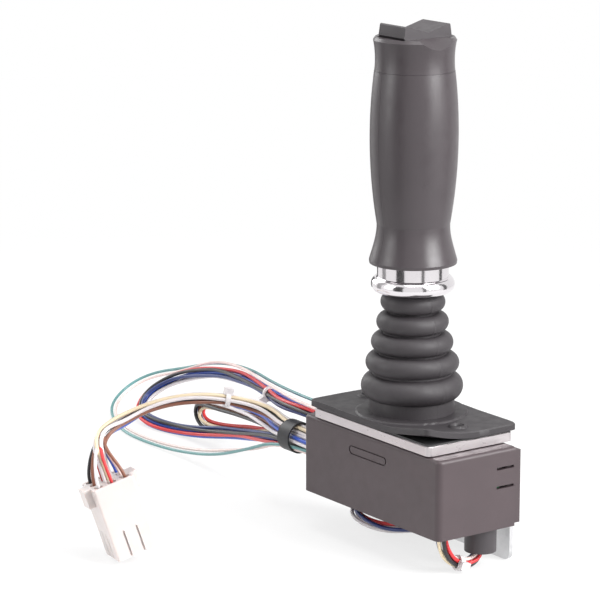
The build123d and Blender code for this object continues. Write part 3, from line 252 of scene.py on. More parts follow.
# Patterns of the finishes: cells or bands a metre, the tracks' stretch and the sink marks' depth
CLOUD_CELLS = 55
GLOSS_CELLS = 190
SINK_CELLS = 70
TARNISH_CELLS = 90
TAPE_CELLS = 160
TAPE_TURNS = 95
TRACK_CELLS = 420
TRACK_STRETCH = (1, 1, 0.2)
SINK_DEPTH = 0.00006


def colour_setting(name, description, default):
    """A colour that the panel shows."""
    return FloatVectorProperty(name=name, description=description, default=default, subtype="COLOR", size=3,
                               min=0.0, max=1.0)


def length_setting(name, description, default):
    """A length that the panel shows, in metres."""
    return FloatProperty(name=name, description=description, default=default, unit="LENGTH", min=0.0)


class JoystickSizes(bpy.types.PropertyGroup):
    """Sizes that a user would change."""

    corner_curl: length_setting("Corner curl", "How far the flange's near corner lifts off the plate", 0.0042)
    edge_warp: length_setting("Edge warp", "How far the flange's edges wave up and down", 0.0003)
    mould_line: length_setting("Mould line", "How far the boot's mould line stands out", 0.00022)
    wire_diameter: length_setting("Wire diameter", "Outer diameter of one wire of a bundle", 0.0019)
    wire_wander: length_setting("Wire wander", "How far a wire strays from its place in the bundle", 0.0002)


class JoystickColours(bpy.types.PropertyGroup):
    """Colours that a user would change."""

    grip: colour_setting("Grip", "Moulded plastic of the grip and head", (0.046, 0.038, 0.042))
    rocker: colour_setting("Rocker", "Plastic of the thumb rocker", (0.040, 0.034, 0.038))
    boot: colour_setting("Boot", "Rubber of the boot", (0.027, 0.023, 0.026))
    box: colour_setting("Box", "Plastic of the cover box", (0.052, 0.037, 0.041))
    plate: colour_setting("Plate", "Aluminium of the mounting plate", (0.56, 0.52, 0.53))
    steel: colour_setting("Steel", "Zinc-plated steel", (0.64, 0.64, 0.65))
    nylon: colour_setting("Connector", "Nylon of the connector housing", (0.56, 0.505, 0.49))


# Materials


def new_material(name):
    """A material with its node tree, its shader and the object's own coordinates."""
    material = bpy.data.materials.new(name)
    material.use_nodes = True
    tree = material.node_tree
    shader = tree.nodes["Principled BSDF"]
    place = tree.nodes.new("ShaderNodeTexCoord").outputs["Object"]
    return material, tree, shader, place


def noise(tree, place, scale, detail=3.0, stretch=(1, 1, 1)):
    """Noise of so many cells a metre, drawn out along the axes by the stretch."""
    mapping = tree.nodes.new("ShaderNodeMapping")
    mapping.inputs["Scale"].default_value = stretch
    tree.links.new(place, mapping.inputs["Vector"])
    texture = tree.nodes.new("ShaderNodeTexNoise")
    texture.inputs["Scale"].default_value = scale
    texture.inputs["Detail"].default_value = detail
    tree.links.new(mapping.outputs["Vector"], texture.inputs["Vector"])
    return texture.outputs["Fac"]


def spread(tree, value, low, high):
    """The noise's middle range carried to the range from low to high."""
    ranger = tree.nodes.new("ShaderNodeMapRange")
    for socket, number in (("From Min", 0.3), ("From Max", 0.7), ("To Min", low), ("To Max", high)):
        ranger.inputs[socket].default_value = number
    tree.links.new(value, ranger.inputs["Value"])
    return ranger.outputs["Result"]


def tint(tree, value, shader, colour, change):
    """The base colour moves between darker and lighter by the change, as the noise goes."""
    mix = tree.nodes.new("ShaderNodeMix")
    mix.data_type = "RGBA"
    mix.inputs["A"].default_value = [part * (1 - change) for part in colour] + [1]
    mix.inputs["B"].default_value = [min(part * (1 + change), 1) for part in colour] + [1]
    tree.links.new(value, mix.inputs["Factor"])
    tree.links.new(mix.outputs["Result"], shader.inputs["Base Color"])


def relief(tree, height, shader, distance, strength=1.0, below=None):
    """A bump of the height's pattern, laid over the bump below it where there is one."""
    bump = tree.nodes.new("ShaderNodeBump")
    bump.inputs["Distance"].default_value = distance
    bump.inputs["Strength"].default_value = strength
    tree.links.new(height, bump.inputs["Height"])
    if below is not None:
        tree.links.new(below.outputs["Normal"], bump.inputs["Normal"])
    tree.links.new(bump.outputs["Normal"], shader.inputs["Normal"])
    return bump


def moulded(name, colour, roughness, grain=2600, grain_height=0.00002, mottle=0.12):
    """Moulded plastic or rubber: cloudy colour, uneven gloss and a fine eroded grain over slow sink marks."""
    material, tree, shader, place = new_material(name)
    tint(tree, noise(tree, place, CLOUD_CELLS), shader, colour, mottle)
    rough = spread(tree, noise(tree, place, GLOSS_CELLS), roughness * 0.86, roughness * 1.14)
    tree.links.new(rough, shader.inputs["Roughness"])
    sink = relief(tree, noise(tree, place, SINK_CELLS, detail=1.0), shader, SINK_DEPTH, 0.4)
    relief(tree, noise(tree, place, grain), shader, grain_height, 0.6, below=sink)
    return material


def metal(name, colour, roughness, stretch=(1, 1, 1), scratch=900, scratch_height=0.000008):
    """Bare or plated metal: fine drawn lines, uneven gloss and faint cloudy tarnish."""
    material, tree, shader, place = new_material(name)
    shader.inputs["Metallic"].default_value = 1.0
    tint(tree, noise(tree, place, TARNISH_CELLS), shader, colour, 0.06)
    lines = noise(tree, place, scratch, detail=4.0, stretch=stretch)
    tree.links.new(spread(tree, lines, roughness * 0.75, roughness * 1.3), shader.inputs["Roughness"])
    relief(tree, lines, shader, scratch_height, 0.5)
    return material


def vinyl(name, colour):
    """Wire insulation: smooth vinyl with faint drawn unevenness and dust-dulled patches."""
    material = moulded(name, colour, 0.36, grain=1400, grain_height=0.000012, mottle=0.07)
    material.node_tree.nodes["Principled BSDF"].inputs["Specular IOR Level"].default_value = 0.45
    return material


def nylon(name, colour):
    """Natural nylon: milky, lit through a little, with soft moulded unevenness."""
    material = moulded(name, colour, 0.34, grain=900, grain_height=0.00002, mottle=0.05)
    shader = material.node_tree.nodes["Principled BSDF"]
    shader.inputs["Subsurface Weight"].default_value = 0.35
    shader.inputs["Subsurface Radius"].default_value = (0.004, 0.003, 0.0026)
    shader.inputs["Subsurface Scale"].default_value = 1.0
    return material


def wound_tape(name, colour):
    """Vinyl tape wound round a bundle: edges of the turns run across the bundle as fine steps."""
    material, tree, shader, place = new_material(name)
    tint(tree, noise(tree, place, TAPE_CELLS), shader, colour, 0.15)
    shader.inputs["Roughness"].default_value = 0.5
    turns = tree.nodes.new("ShaderNodeTexWave")
    turns.wave_profile = "SAW"
    turns.inputs["Scale"].default_value = TAPE_TURNS
    turns.inputs["Distortion"].default_value = 1.2
    tree.links.new(place, turns.inputs["Vector"])
    relief(tree, turns.outputs["Fac"], shader, 0.00015, 0.8)
    return material


def circuit_green(name):
    """Solder mask over copper tracks, which show as slightly raised paler lines."""
    material, tree, shader, place = new_material(name)
    tracks = noise(tree, place, TRACK_CELLS, detail=0.0, stretch=TRACK_STRETCH)
    tint(tree, tracks, shader, (0.02, 0.16, 0.06), 0.3)
    shader.inputs["Roughness"].default_value = 0.3
    relief(tree, tracks, shader, 0.00003)
    return material


WIRE_COLOURS = {
    "brown": (0.20, 0.075, 0.045),
    "white": (0.64, 0.60, 0.61),
    "blue": (0.035, 0.085, 0.42),
    "navy": (0.02, 0.035, 0.14),
    "red": (0.55, 0.03, 0.035),
    "black": (0.022, 0.021, 0.024),
    "cream": (0.66, 0.55, 0.38),
    "pink": (0.74, 0.60, 0.57),
    "teal": (0.12, 0.27, 0.27),
}


def wire_finish(colour_name):
    """The vinyl of that colour, made the first time it is asked for."""
    name = "wire_" + colour_name
    return bpy.data.materials.get(name) or vinyl(name, WIRE_COLOURS[colour_name])


def wear(node_name, material):
    """The CAD node takes this material in place of its own."""
    node = nodes[node_name]
    if not node.material_slots:
        node.data.materials.append(material)
    for slot in node.material_slots:
        slot.material = material


# Shapes


def grid_faces(rows, columns, close_rows=False, close_columns=True):
    """Quads of a grid of rows by columns: a vertex, the next in its row, and the same two a row on."""
    row = np.arange(rows if close_rows else rows - 1)[:, None]
    column = np.arange(columns if close_columns else columns - 1)[None, :]
    next_row = (row + 1) % rows
    next_column = (column + 1) % columns
    corners = [row * columns + column, row * columns + next_column,
               next_row * columns + next_column, next_row * columns + column]
    return np.stack(corners, axis=-1).reshape(-1, 4)


def make_piece(name, vertices, faces, materials, face_materials=None, sharp_angle=40.0):
    """A mesh object from arrays, shaded smooth but for its sharp edges, with its faces turned outwards."""
    mesh = bpy.data.meshes.new(name)
    mesh.from_pydata(np.asarray(vertices).reshape(-1, 3).tolist(), [], [list(face) for face in faces])
    for material in materials:
        mesh.materials.append(material)
    if face_materials is not None:
        mesh.polygons.foreach_set("material_index", np.asarray(face_materials, dtype=np.int32))
    work = bmesh.new()
    work.from_mesh(mesh)
    bmesh.ops.recalc_face_normals(work, faces=work.faces)
    work.to_mesh(mesh)
    work.free()
    mesh.shade_smooth()
    mesh.set_sharp_from_angle(angle=math.radians(sharp_angle))
    piece = bpy.data.objects.new(name, mesh)
    bpy.context.scene.collection.objects.link(piece)
    return piece


def arc_through(start, middle, end, count):
    """Points of the circle's arc through three points: its centre is as far from all three."""
    a, b, c = (np.array(point, dtype=float) for point in (start, middle, end))
    system = 2 * np.array([b - a, c - a])
    centre = np.linalg.solve(system, np.array([b @ b - a @ a, c @ c - a @ a]))
    radius = np.linalg.norm(a - centre)
    angles = [math.atan2(*(point - centre)[::-1]) for point in (a, b, c)]
    sweep_angles = np.unwrap(angles)
    angle = np.linspace(sweep_angles[0], sweep_angles[2], count)
    return centre + radius * np.stack([np.cos(angle), np.sin(angle)], axis=1)


def turned(name, profile, materials, segments=192, swell=None):
    """A closed profile of radius and height turned round Z: x, y = radius times cosine and sine, z = height.

    The swell is a function of angle and height that is added to the radius."""
    profile = np.asarray(profile)
    angle = np.linspace(0, 2 * np.pi, segments, endpoint=False)
    radius = np.repeat(profile[:, :1], segments, axis=1)
    height = np.repeat(profile[:, 1:], segments, axis=1)
    if swell is not None:
        radius = radius + swell(angle[None, :], radius, height)
    vertices = np.stack([radius * np.cos(angle), radius * np.sin(angle), height], axis=-1)
    faces = grid_faces(len(profile), segments, close_rows=True)
    return make_piece(name, vertices, faces, materials)


def smooth_step(value):
    """0 below 0, 1 above 1, and 3v^2 - 2v^3 between."""
    value = np.clip(value, 0, 1)
    return value * value * (3 - 2 * value)


# Wires


def route_line(name, route):
    """Points of the route's own NURBS line, evenly spaced along it."""
    curve = bpy.data.curves.new(name + "_route", "CURVE")
    curve.dimensions = "3D"
    spline = curve.splines.new("NURBS")
    spline.points.add(len(route) - 1)
    for point, place in zip(spline.points, route):
        point.co = (*place, 1)
    spline.order_u = ROUTE_ORDER
    spline.use_endpoint_u = True
    spline.resolution_u = ROUTE_RESOLUTION
    holder = bpy.data.objects.new(name + "_route", curve)
    bpy.context.scene.collection.objects.link(holder)
    bpy.context.view_layer.update()
    sampled = bpy.data.meshes.new_from_object(holder)
    line = np.empty(len(sampled.vertices) * 3)
    sampled.vertices.foreach_get("co", line)
    line = line.reshape(-1, 3)
    bpy.data.objects.remove(holder)
    steps = np.linalg.norm(np.diff(line, axis=0), axis=1)
    travelled = np.concatenate([[0], np.cumsum(steps)])
    count = int(travelled[-1] / STATION_SPACING) + 2
    even = np.linspace(0, travelled[-1], count)
    return np.stack([np.interp(even, travelled, line[:, axis]) for axis in range(3)], axis=1), travelled[-1]


def across_line(line):
    """Two directions across the line at each station, turning as little as possible along it.

    The first is square to the tangent and to the direction that the line as a whole runs along least."""
    tangent = np.gradient(line, axis=0)
    tangent /= np.linalg.norm(tangent, axis=1)[:, None]
    least = np.linalg.svd(tangent, full_matrices=False)[2][-1]
    side = np.cross(tangent, least)
    side /= np.linalg.norm(side, axis=1)[:, None]
    return side, np.cross(tangent, side)


def tube(line, side, other, radius, sides=WIRE_SIDES):
    """A round tube with flat ends: the line plus the radius times cosine and sine across it."""
    angle = np.linspace(0, 2 * np.pi, sides, endpoint=False)
    cosine, sine = np.cos(angle)[None, :, None], np.sin(angle)[None, :, None]
    ring = side[:, None, :] * cosine + other[:, None, :] * sine
    vertices = (line[:, None, :] + radius * ring).reshape(-1, 3)
    last = len(vertices) - sides
    faces = grid_faces(len(line), sides).tolist()
    faces += [list(range(sides)), list(range(last, last + sides))]
    return vertices, faces


def gathered(line, middles):
    """1 where the bundle runs free, and 0 at its ends and where the band or a tie draws it together.

    Near each middle it is 1 - exp(-(distance / gather length)^2), and it eases to 0 at both ends."""
    steps = np.linalg.norm(np.diff(line, axis=0), axis=1)
    travelled = np.concatenate([[0], np.cumsum(steps)])
    free = smooth_step(travelled / EXIT_LENGTH) * smooth_step((travelled[-1] - travelled) / EXIT_LENGTH)
    for middle in middles:
        distance = np.linalg.norm(line - np.array(middle), axis=1)
        free = free * (1 - np.exp(-(distance / GATHER_LENGTH) ** 2))
    return free


def joined_wires(name, tubes, colour_names):
    """One mesh of several tubes, each with the finish of its own colour."""
    all_vertices, all_faces, face_materials = [], [], []
    start = 0
    for number, (vertices, faces) in enumerate(tubes):
        all_vertices.append(vertices)
        all_faces += [[index + start for index in face] for face in faces]
        face_materials += [number] * len(faces)
        start += len(vertices)
    materials = [wire_finish(colour_name) for colour_name in colour_names]
    return make_piece(name, np.concatenate(all_vertices), all_faces, materials, face_materials)


def bundle(name, route, colour_names, diameter, middles, twist_turns, first_angle):
    """One mesh of several wires side by side round the route's line.

    n wires stand round the line at wire radius / sin(pi/n), a little further out where the bundle runs free.
    Each keeps its share of the full turn plus a slow twist, and strays by sines of its own along the length.
    In a bundle of seven the last wire is the core."""
    sizes = bpy.context.scene.joystick_sizes
    line, length = route_line(name, route)
    side, other = across_line(line)
    share = np.linspace(0, 1, len(line))
    free = gathered(line, middles)
    single = len(colour_names) == 1
    wire_radius = diameter / 2 if single else sizes.wire_diameter / 2
    around = len(colour_names) - 1 if len(colour_names) == CORE_COUNT else len(colour_names)
    tubes = []
    for number in range(len(colour_names)):
        angle = (2 * np.pi * (number / around + twist_turns * share) + first_angle
                 + SWAY_ANGLE * free * np.sin(length * SWAY_RATE * share + SWAY_STEP * number))
        outside = number < around and not single
        tight = wire_radius / math.sin(math.pi / around) * TIGHT_SHARE if outside else 0
        reach = tight * (1 + (LOOSE_SHARE - 1) * free)
        if outside:
            wander = np.sin(length * WANDER_RATE * share + WANDER_STEP * number)
            reach = reach + sizes.wire_wander * free * wander
        centre = line + side * (reach * np.cos(angle))[:, None] + other * (reach * np.sin(angle))[:, None]
        tubes.append(tube(centre, side, other, wire_radius))
    return joined_wires(name, tubes, colour_names), line, length


def middle_of(node_name):
    """The middle of a CAD node's box."""
    low, high = (np.array(corner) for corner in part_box(node_name))
    return (low + high) / 2


def lay_cord(name, node_name, route, colour_names, diameter, twist_turns=0.35, first_angle=0.4,
             middles=()):
    """A bundle that stands for its CAD tube and rides on the base."""
    piece, line, length = bundle(name, route, colour_names, diameter, middles, twist_turns, first_angle)
    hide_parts(node_name)
    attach(piece, "base")
    return piece


def connector_tails():
    """Wires that leave the lead shortly before the connector and enter its outer cavities.

    Each is a smooth step from the lead's line to the line of its cavity."""
    line = route_line("tails", LEAD_ROUTE)[0]
    stations = int(TAIL_START / STATION_SPACING)
    line = line[-stations:]
    axis = np.array(Vector(HOUSING_AXIS).normalized())
    row = np.array(Vector(HOUSING_ROW).normalized())
    column = np.cross(axis, row)
    inside = np.linspace(0, TAIL_DEPTH, TAIL_STATIONS)[1:, None] * axis + line[-1]
    line = np.concatenate([line, inside])
    share = smooth_step(np.linspace(0, TAIL_STEP_END, len(line)))
    cells = [(x, y) for x in (-1, 0, 1) for y in (-1, 0, 1) if (x, y) != (0, 0)]
    tubes = []
    for cell in cells:
        reach = HOUSING_PITCH * (row * cell[0] + column * cell[1])
        centre = line + share[:, None] * reach + (1 - share)[:, None] * reach * TAIL_FIRST_SHARE
        side, other = across_line(centre)
        tubes.append(tube(centre, side, other, THIN_DIAMETER / 2))
    tails = joined_wires("connector_tails", tubes, TAIL_WIRES)
    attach(tails, "base")
    return tails


# Boot


def bellows_profile():
    """The folds' arcs from the flange up, the collar, and the straight inner zigzag back down."""
    foot = FLANGE_BOTTOM + BOOT_FOOT_RISE
    outer = [np.array([[CREASES[0][0], foot]])]
    for lower, crown, upper in zip(CREASES, CROWNS, CREASES[1:]):
        bottom = (lower[0], lower[1] + CREASE_HALF_HEIGHT)
        top = (upper[0], upper[1] - CREASE_HALF_HEIGHT)
        outer.append(arc_through(bottom, crown, top, FOLD_POINTS))
    boot_top = CREASES[-1][1]
    collar = np.array([CREASES[-1], (COLLAR_RADIUS, boot_top), (COLLAR_RADIUS, boot_top - BOOT_WALL)])
    inner = [(CREASES[-1][0] - BOOT_WALL, boot_top - BOOT_WALL)]
    for crown, crease in zip(reversed(CROWNS), reversed(CREASES[:-1])):
        inner += [(crown[0] - CROWN_WALL, crown[1]), (crease[0] - BOOT_WALL, crease[1])]
    inner.append((CREASES[0][0] - BOOT_WALL, foot))
    return np.concatenate(outer + [collar, np.array(inner)])


def mould_line(angle, radius, height):
    """A thin ridge where the mould's halves met, on the +X and -X sides, and the folds' slow unevenness.

    Ridge = its height times exp(-(distance from the X axis / its width)^2). The rest is a sine."""
    across = radius * np.sin(angle)
    ridge = bpy.context.scene.joystick_sizes.mould_line * np.exp(-(across / MOULD_LINE_WIDTH) ** 2)
    return ridge + FOLD_WAVE_HEIGHT * np.sin(FOLD_WAVES_ROUND * angle + FOLD_WAVE_CLIMB * height)


def build_bellows():
    """The folded part of the boot."""
    colours = bpy.context.scene.joystick_colours
    rubber = moulded("boot_rubber", colours.boot, 0.6, grain=1900, grain_height=0.000035, mottle=0.18)
    bellows = turned("boot_bellows", bellows_profile(), [rubber], segments=BELLOWS_SEGMENTS,
                     swell=mould_line)
    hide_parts("rubber_boot")
    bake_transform(bellows)
    return bellows


def rectangle_reach(angle):
    """Distance from the centre to the flange's edge at an angle, its corners rounded by a power mean."""
    cosine = np.abs(np.cos(angle)) / FLANGE_HALF_LENGTH
    sine = np.abs(np.sin(angle)) / FLANGE_HALF_WIDTH
    return (cosine ** CORNER_POWER + sine ** CORNER_POWER) ** (-1 / CORNER_POWER)


def build_flange():
    """The boot's flat flange: rings from its round hole to its square-cut edge, with one corner curling up.

    Height = flat top, plus a step inside the raised ring and at each hole's eye, plus the curl that grows
    with the square of the distance past its start, plus a slow wave along the edge, less its rounding."""
    sizes = bpy.context.scene.joystick_sizes
    colours = bpy.context.scene.joystick_colours
    angle = np.linspace(0, 2 * np.pi, FLANGE_ANGLES, endpoint=False)
    outer = rectangle_reach(angle)
    share = np.concatenate([np.linspace(0, FLANGE_RINGS_SHARE, FLANGE_RINGS), FLANGE_EDGE_SHARES])
    radius = FLANGE_HOLE + (outer[None, :] - FLANGE_HOLE) * share[:, None]
    x, y = radius * np.cos(angle), radius * np.sin(angle)
    past_start = (x - CURL_START_X) * CURL_LEAN_X + (-y - CURL_START_Y) * CURL_LEAN_Y
    curl = sizes.corner_curl * (np.maximum(0, past_start) / CURL_REACH) ** 2
    wave = sizes.edge_warp * np.sin(EDGE_WAVE_X * x + EDGE_WAVE_Y * y) * share[:, None] ** 3
    lift = curl + np.maximum(wave, 0)
    ring = RING_RISE * smooth_step((FLANGE_RING - radius) / RING_SLOPE)
    eye_distance = np.hypot(np.abs(x) - MOUNT_HALF_SPACING, y)
    eye = EYE_RISE * smooth_step((EYE_RADIUS - eye_distance) / EYE_SLOPE)
    edge_round = EDGE_ROUND * (share == 1.0)[:, None]
    top = np.stack([x, y, FLANGE_TOP + lift + ring + eye - edge_round], axis=-1)
    bottom = np.stack([x, y, FLANGE_BOTTOM + lift], axis=-1)[::-1]
    vertices = np.concatenate([top, bottom])
    faces = grid_faces(len(vertices), len(angle), close_rows=True)
    rubber = moulded("flange_rubber", [part * 0.9 for part in colours.boot], 0.55, grain=1500,
                     grain_height=0.00003, mottle=0.2)
    flange = make_piece("boot_flange", vertices, faces, [rubber])
    drill(flange, [(-MOUNT_HALF_SPACING, 0), (MOUNT_HALF_SPACING, 0)], MOUNT_HOLE_RADIUS)
    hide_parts("rubber_boot")
    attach(flange, "base")
    return flange


def drill(piece, places, radius):
    """Round holes straight down through a piece, each cut with a cylinder by an exact boolean."""
    for x, y in places:
        line = np.array([(x, y, -HOLE_REACH), (x, y, HOLE_REACH)])
        side = np.array([(1.0, 0, 0)] * 2)
        other = np.array([(0, 1.0, 0)] * 2)
        vertices, faces = tube(line, side, other, radius, sides=HOLE_SIDES)
        cutter = make_piece("hole_cutter", vertices, faces, [])
        cut = piece.modifiers.new("hole", "BOOLEAN")
        cut.operation, cut.solver, cut.object = "DIFFERENCE", "EXACT", cutter
        bpy.context.view_layer.objects.active = piece
        bpy.ops.object.modifier_apply(modifier=cut.name)
        bpy.data.objects.remove(cutter)


# Ring, finishes and stage


def build_ring():
    """The polished lock ring as one turned profile with a round outer edge and eased corners."""
    half = (RING_TOP - RING_BOTTOM) / 2
    middle = RING_BOTTOM + half
    edge = arc_through((RING_RADIUS - half / 2, RING_BOTTOM), (RING_RADIUS, middle),
                       (RING_RADIUS - half / 2, RING_TOP), RING_EDGE_POINTS)
    neck = np.array([
        (RING_NECK_RADIUS + RING_EDGE, RING_TOP), (RING_NECK_RADIUS, RING_TOP + RING_EDGE),
        (RING_NECK_RADIUS, RING_NECK_TOP - RING_EDGE), (RING_NECK_RADIUS - RING_EDGE, RING_NECK_TOP),
        (RING_CUP_RADIUS, RING_NECK_TOP), (RING_CUP_RADIUS, RING_CUP_FLOOR), (RING_BORE, RING_CUP_FLOOR),
        (RING_BORE, RING_BOTTOM),
    ])
    polish = metal("ring_polish", (0.76, 0.73, 0.75), 0.13, stretch=(1, 1, 14), scratch=500,
                   scratch_height=0.000002)
    ring = turned("polished_ring", np.concatenate([edge, neck]), [polish])
    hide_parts("lock_ring")
    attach(ring, "ring")
    return ring


def dress_frame():
    """Every CAD node that shows takes a detailed finish of its slot, and some take one of their own."""
    colours = bpy.context.scene.joystick_colours
    finishes = {
        "bare_aluminium": metal("plate_aluminium", colours.plate, 0.34, stretch=(0.15, 0.15, 1),
                                scratch=1300),
        "black_rubber": moulded("soft_rubber", (0.03, 0.029, 0.031), 0.62),
        "zinc_steel": metal("zinc_plate", colours.steel, 0.36, scratch=700),
        "bronze_bush": metal("bronze", (0.62, 0.40, 0.20), 0.38),
        "switch_black": moulded("switch_plastic", (0.035, 0.034, 0.036), 0.48),
        "box_black": moulded("box_plastic", colours.box, 0.44, grain=2200, grain_height=0.00003),
        "bracket_steel": metal("bracket_plate", colours.steel, 0.42, scratch=650),
        "board_green": circuit_green("solder_mask"),
        "white_nylon": nylon("natural_nylon", colours.nylon),
        "wire_vinyl": vinyl("lead_sheath", (0.03, 0.03, 0.032)),
        "grip_plastic": moulded("grip_plastic_grain", colours.grip, 0.37, grain=3000),
        "rocker_plastic": moulded("rocker_plastic_grain", colours.rocker, 0.42),
        "polished_ring": metal("pin_polish", (0.88, 0.87, 0.88), 0.14),
    }
    for name, node in nodes.items():
        slot_names = [slot.material.name for slot in node.material_slots if slot.material]
        matches = [finish for slot_name, finish in finishes.items()
                   for worn in slot_names if worn.startswith(slot_name)]
        wear(name, matches[0] if matches else finishes["zinc_steel"])
    wear("harness_band", wound_tape("black_tape", (0.02, 0.02, 0.022)))
    wear("wire_sleeve", moulded("sleeve_rubber", (0.040, 0.034, 0.038), 0.5))
    tie_nylon = moulded("tie_nylon", (0.62, 0.59, 0.60), 0.38, grain=800)
    for name in ("outer_tie", "lead_tie", "under_tie"):
        wear(name, tie_nylon)


def build_camera():
    """The photograph's camera: back, right and up directions from its azimuth and elevation."""
    azimuth, elevation = math.radians(CAMERA_AZIMUTH), math.radians(CAMERA_ELEVATION)
    back = Vector((math.sin(azimuth) * math.cos(elevation), -math.cos(azimuth) * math.cos(elevation),
                   math.sin(elevation)))
    right = Vector((math.cos(azimuth), math.sin(azimuth), 0))
    turn = Matrix((right, back.cross(right), back)).transposed().to_4x4()
    data = bpy.data.cameras.new("photo_camera")
    data.lens, data.sensor_width = CAMERA_LENS, CAMERA_SENSOR
    camera = bpy.data.objects.new("photo_camera", data)
    camera.matrix_world = Matrix.Translation(CAMERA_PLACE) @ turn
    bpy.context.scene.collection.objects.link(camera)
    bpy.context.scene.camera = camera


def soft_lamp(name, place, size, power):
    """A large rectangular area lamp that faces the boot."""
    data = bpy.data.lights.new(name, "AREA")
    data.shape, data.size, data.size_y = "RECTANGLE", *size
    data.energy = power
    lamp = bpy.data.objects.new(name, data)
    lamp.location = place
    lamp.rotation_euler = (Vector(LAMP_TARGET) - Vector(place)).to_track_quat("-Z", "Y").to_euler()
    bpy.context.scene.collection.objects.link(lamp)


def white_to_eye(tree, seen, lit_strength, seen_strength=1.0):
    """One strength for the camera, gloss and glass, and the lit strength for the light on the object."""
    path = tree.nodes.new("ShaderNodeLightPath")
    total = path.outputs["Is Camera Ray"]
    for ray in ("Is Glossy Ray", "Is Transmission Ray"):
        add = tree.nodes.new("ShaderNodeMath")
        add.use_clamp = True
        tree.links.new(total, add.inputs[0])
        tree.links.new(path.outputs[ray], add.inputs[1])
        total = add.outputs[0]
    ranger = tree.nodes.new("ShaderNodeMapRange")
    ranger.inputs["To Min"].default_value = lit_strength
    ranger.inputs["To Max"].default_value = seen_strength
    tree.links.new(total, ranger.inputs["Value"])
    tree.links.new(ranger.outputs["Result"], seen)


def build_floor():
    """A pale round floor whose rim fades into the white world."""
    material, tree, shader, place = new_material("studio_floor")
    shader.inputs["Base Color"].default_value = (FLOOR_GREY, FLOOR_GREY, FLOOR_GREY, 1)
    shader.inputs["Roughness"].default_value = FLOOR_ROUGHNESS
    distance = tree.nodes.new("ShaderNodeVectorMath")
    distance.operation = "LENGTH"
    tree.links.new(place, distance.inputs[0])
    fade = tree.nodes.new("ShaderNodeMapRange")
    fade.interpolation_type = "SMOOTHSTEP"
    fade.inputs["From Min"].default_value = FADE_START
    fade.inputs["From Max"].default_value = FADE_END
    tree.links.new(distance.outputs["Value"], fade.inputs["Value"])
    clear = tree.nodes.new("ShaderNodeBsdfTransparent")
    mix = tree.nodes.new("ShaderNodeMixShader")
    tree.links.new(fade.outputs["Result"], mix.inputs[0])
    tree.links.new(shader.outputs["BSDF"], mix.inputs[1])
    tree.links.new(clear.outputs["BSDF"], mix.inputs[2])
    glow = tree.nodes.new("ShaderNodeEmission")
    white_to_eye(tree, glow.inputs["Strength"], 0.0)
    pale = tree.nodes.new("ShaderNodeMixShader")
    white_to_eye(tree, pale.inputs[0], 0.0, FLOOR_WHITE_SHARE)
    tree.links.new(mix.outputs["Shader"], pale.inputs[1])
    tree.links.new(glow.outputs["Emission"], pale.inputs[2])
    tree.links.new(pale.outputs["Shader"], tree.nodes["Material Output"].inputs["Surface"])
    angle = np.linspace(0, 2 * np.pi, FLOOR_SIDES, endpoint=False)
    rim = np.stack([FLOOR_RADIUS * np.cos(angle), FLOOR_RADIUS * np.sin(angle),
                    np.full(FLOOR_SIDES, FLOOR_HEIGHT)], axis=-1)
    make_piece("studio_floor", rim, [list(range(FLOOR_SIDES))], [material])


def build_cards():
    """Upright dark cards round the joystick, which show in reflections and not to the camera."""
    for number, (turn, width, shade) in enumerate(STUDIO_CARDS):
        card_grey, _, shader, _ = new_material(f"card_grey_{number}")
        shader.inputs["Base Color"].default_value = (shade, shade, shade, 1)
        sine, cosine = math.sin(math.radians(turn)), math.cos(math.radians(turn))
        spot = np.array([CARD_DISTANCE * sine, -CARD_DISTANCE * cosine, 0])
        along = np.array([cosine, sine, 0]) * width / 2
        low, high = np.array([0, 0, FLOOR_HEIGHT]), np.array([0, 0, CARD_TOP])
        corners = np.array([spot - along + low, spot + along + low, spot + along + high, spot - along + high])
        card = make_piece(f"studio_card_{number}", corners, [[0, 1, 2, 3]], [card_grey])
        card.visible_camera = False
        card.visible_diffuse = False
        card.visible_shadow = False


def build_stage():
    """Floor, cards, four soft lamps and the white world."""
    scene = bpy.context.scene
    scene.view_settings.view_transform = "Standard"
    build_floor()
    build_cards()
    for lamp in LAMPS:
        soft_lamp(*lamp)
    world = bpy.data.worlds.new("studio_white")
    world.use_nodes = True
    scene.world = world
    background = world.node_tree.nodes["Background"]
    white_to_eye(world.node_tree, background.inputs["Strength"], WORLD_LIGHT)
    background.inputs["Color"].default_value = (1, 1, 1, 1)


# Operators


class JOYSTICK_OT_camera(bpy.types.Operator):
    """Place the camera where the photograph was taken"""

    bl_idname = "joystick.camera"
    bl_label = "Camera"

    def execute(self, context):
        build_camera()
        return {"FINISHED"}


class JOYSTICK_OT_loops(bpy.types.Operator):
    """Lay the two wire loops and the two thin wires beside the joystick"""

    bl_idname = "joystick.loops"
    bl_label = "Wire loops"

    def execute(self, context):
        lay_cord("outer_loop_wires", "outer_loop", OUTER_ROUTE, OUTER_WIRES, BUNDLE_DIAMETER,
                 middles=[BAND_MIDDLE, middle_of("outer_tie")])
        lay_cord("inner_loop_wires", "inner_loop", INNER_ROUTE, INNER_WIRES, SMALL_BUNDLE_DIAMETER,
                 middles=[BAND_MIDDLE])
        lay_cord("thin_outer_wire", "thin_wire_outer", THIN_OUTER_ROUTE, ["teal"], THIN_DIAMETER)
        lay_cord("thin_inner_wire", "thin_wire_inner", THIN_INNER_ROUTE, ["pink"], THIN_DIAMETER)
        return {"FINISHED"}


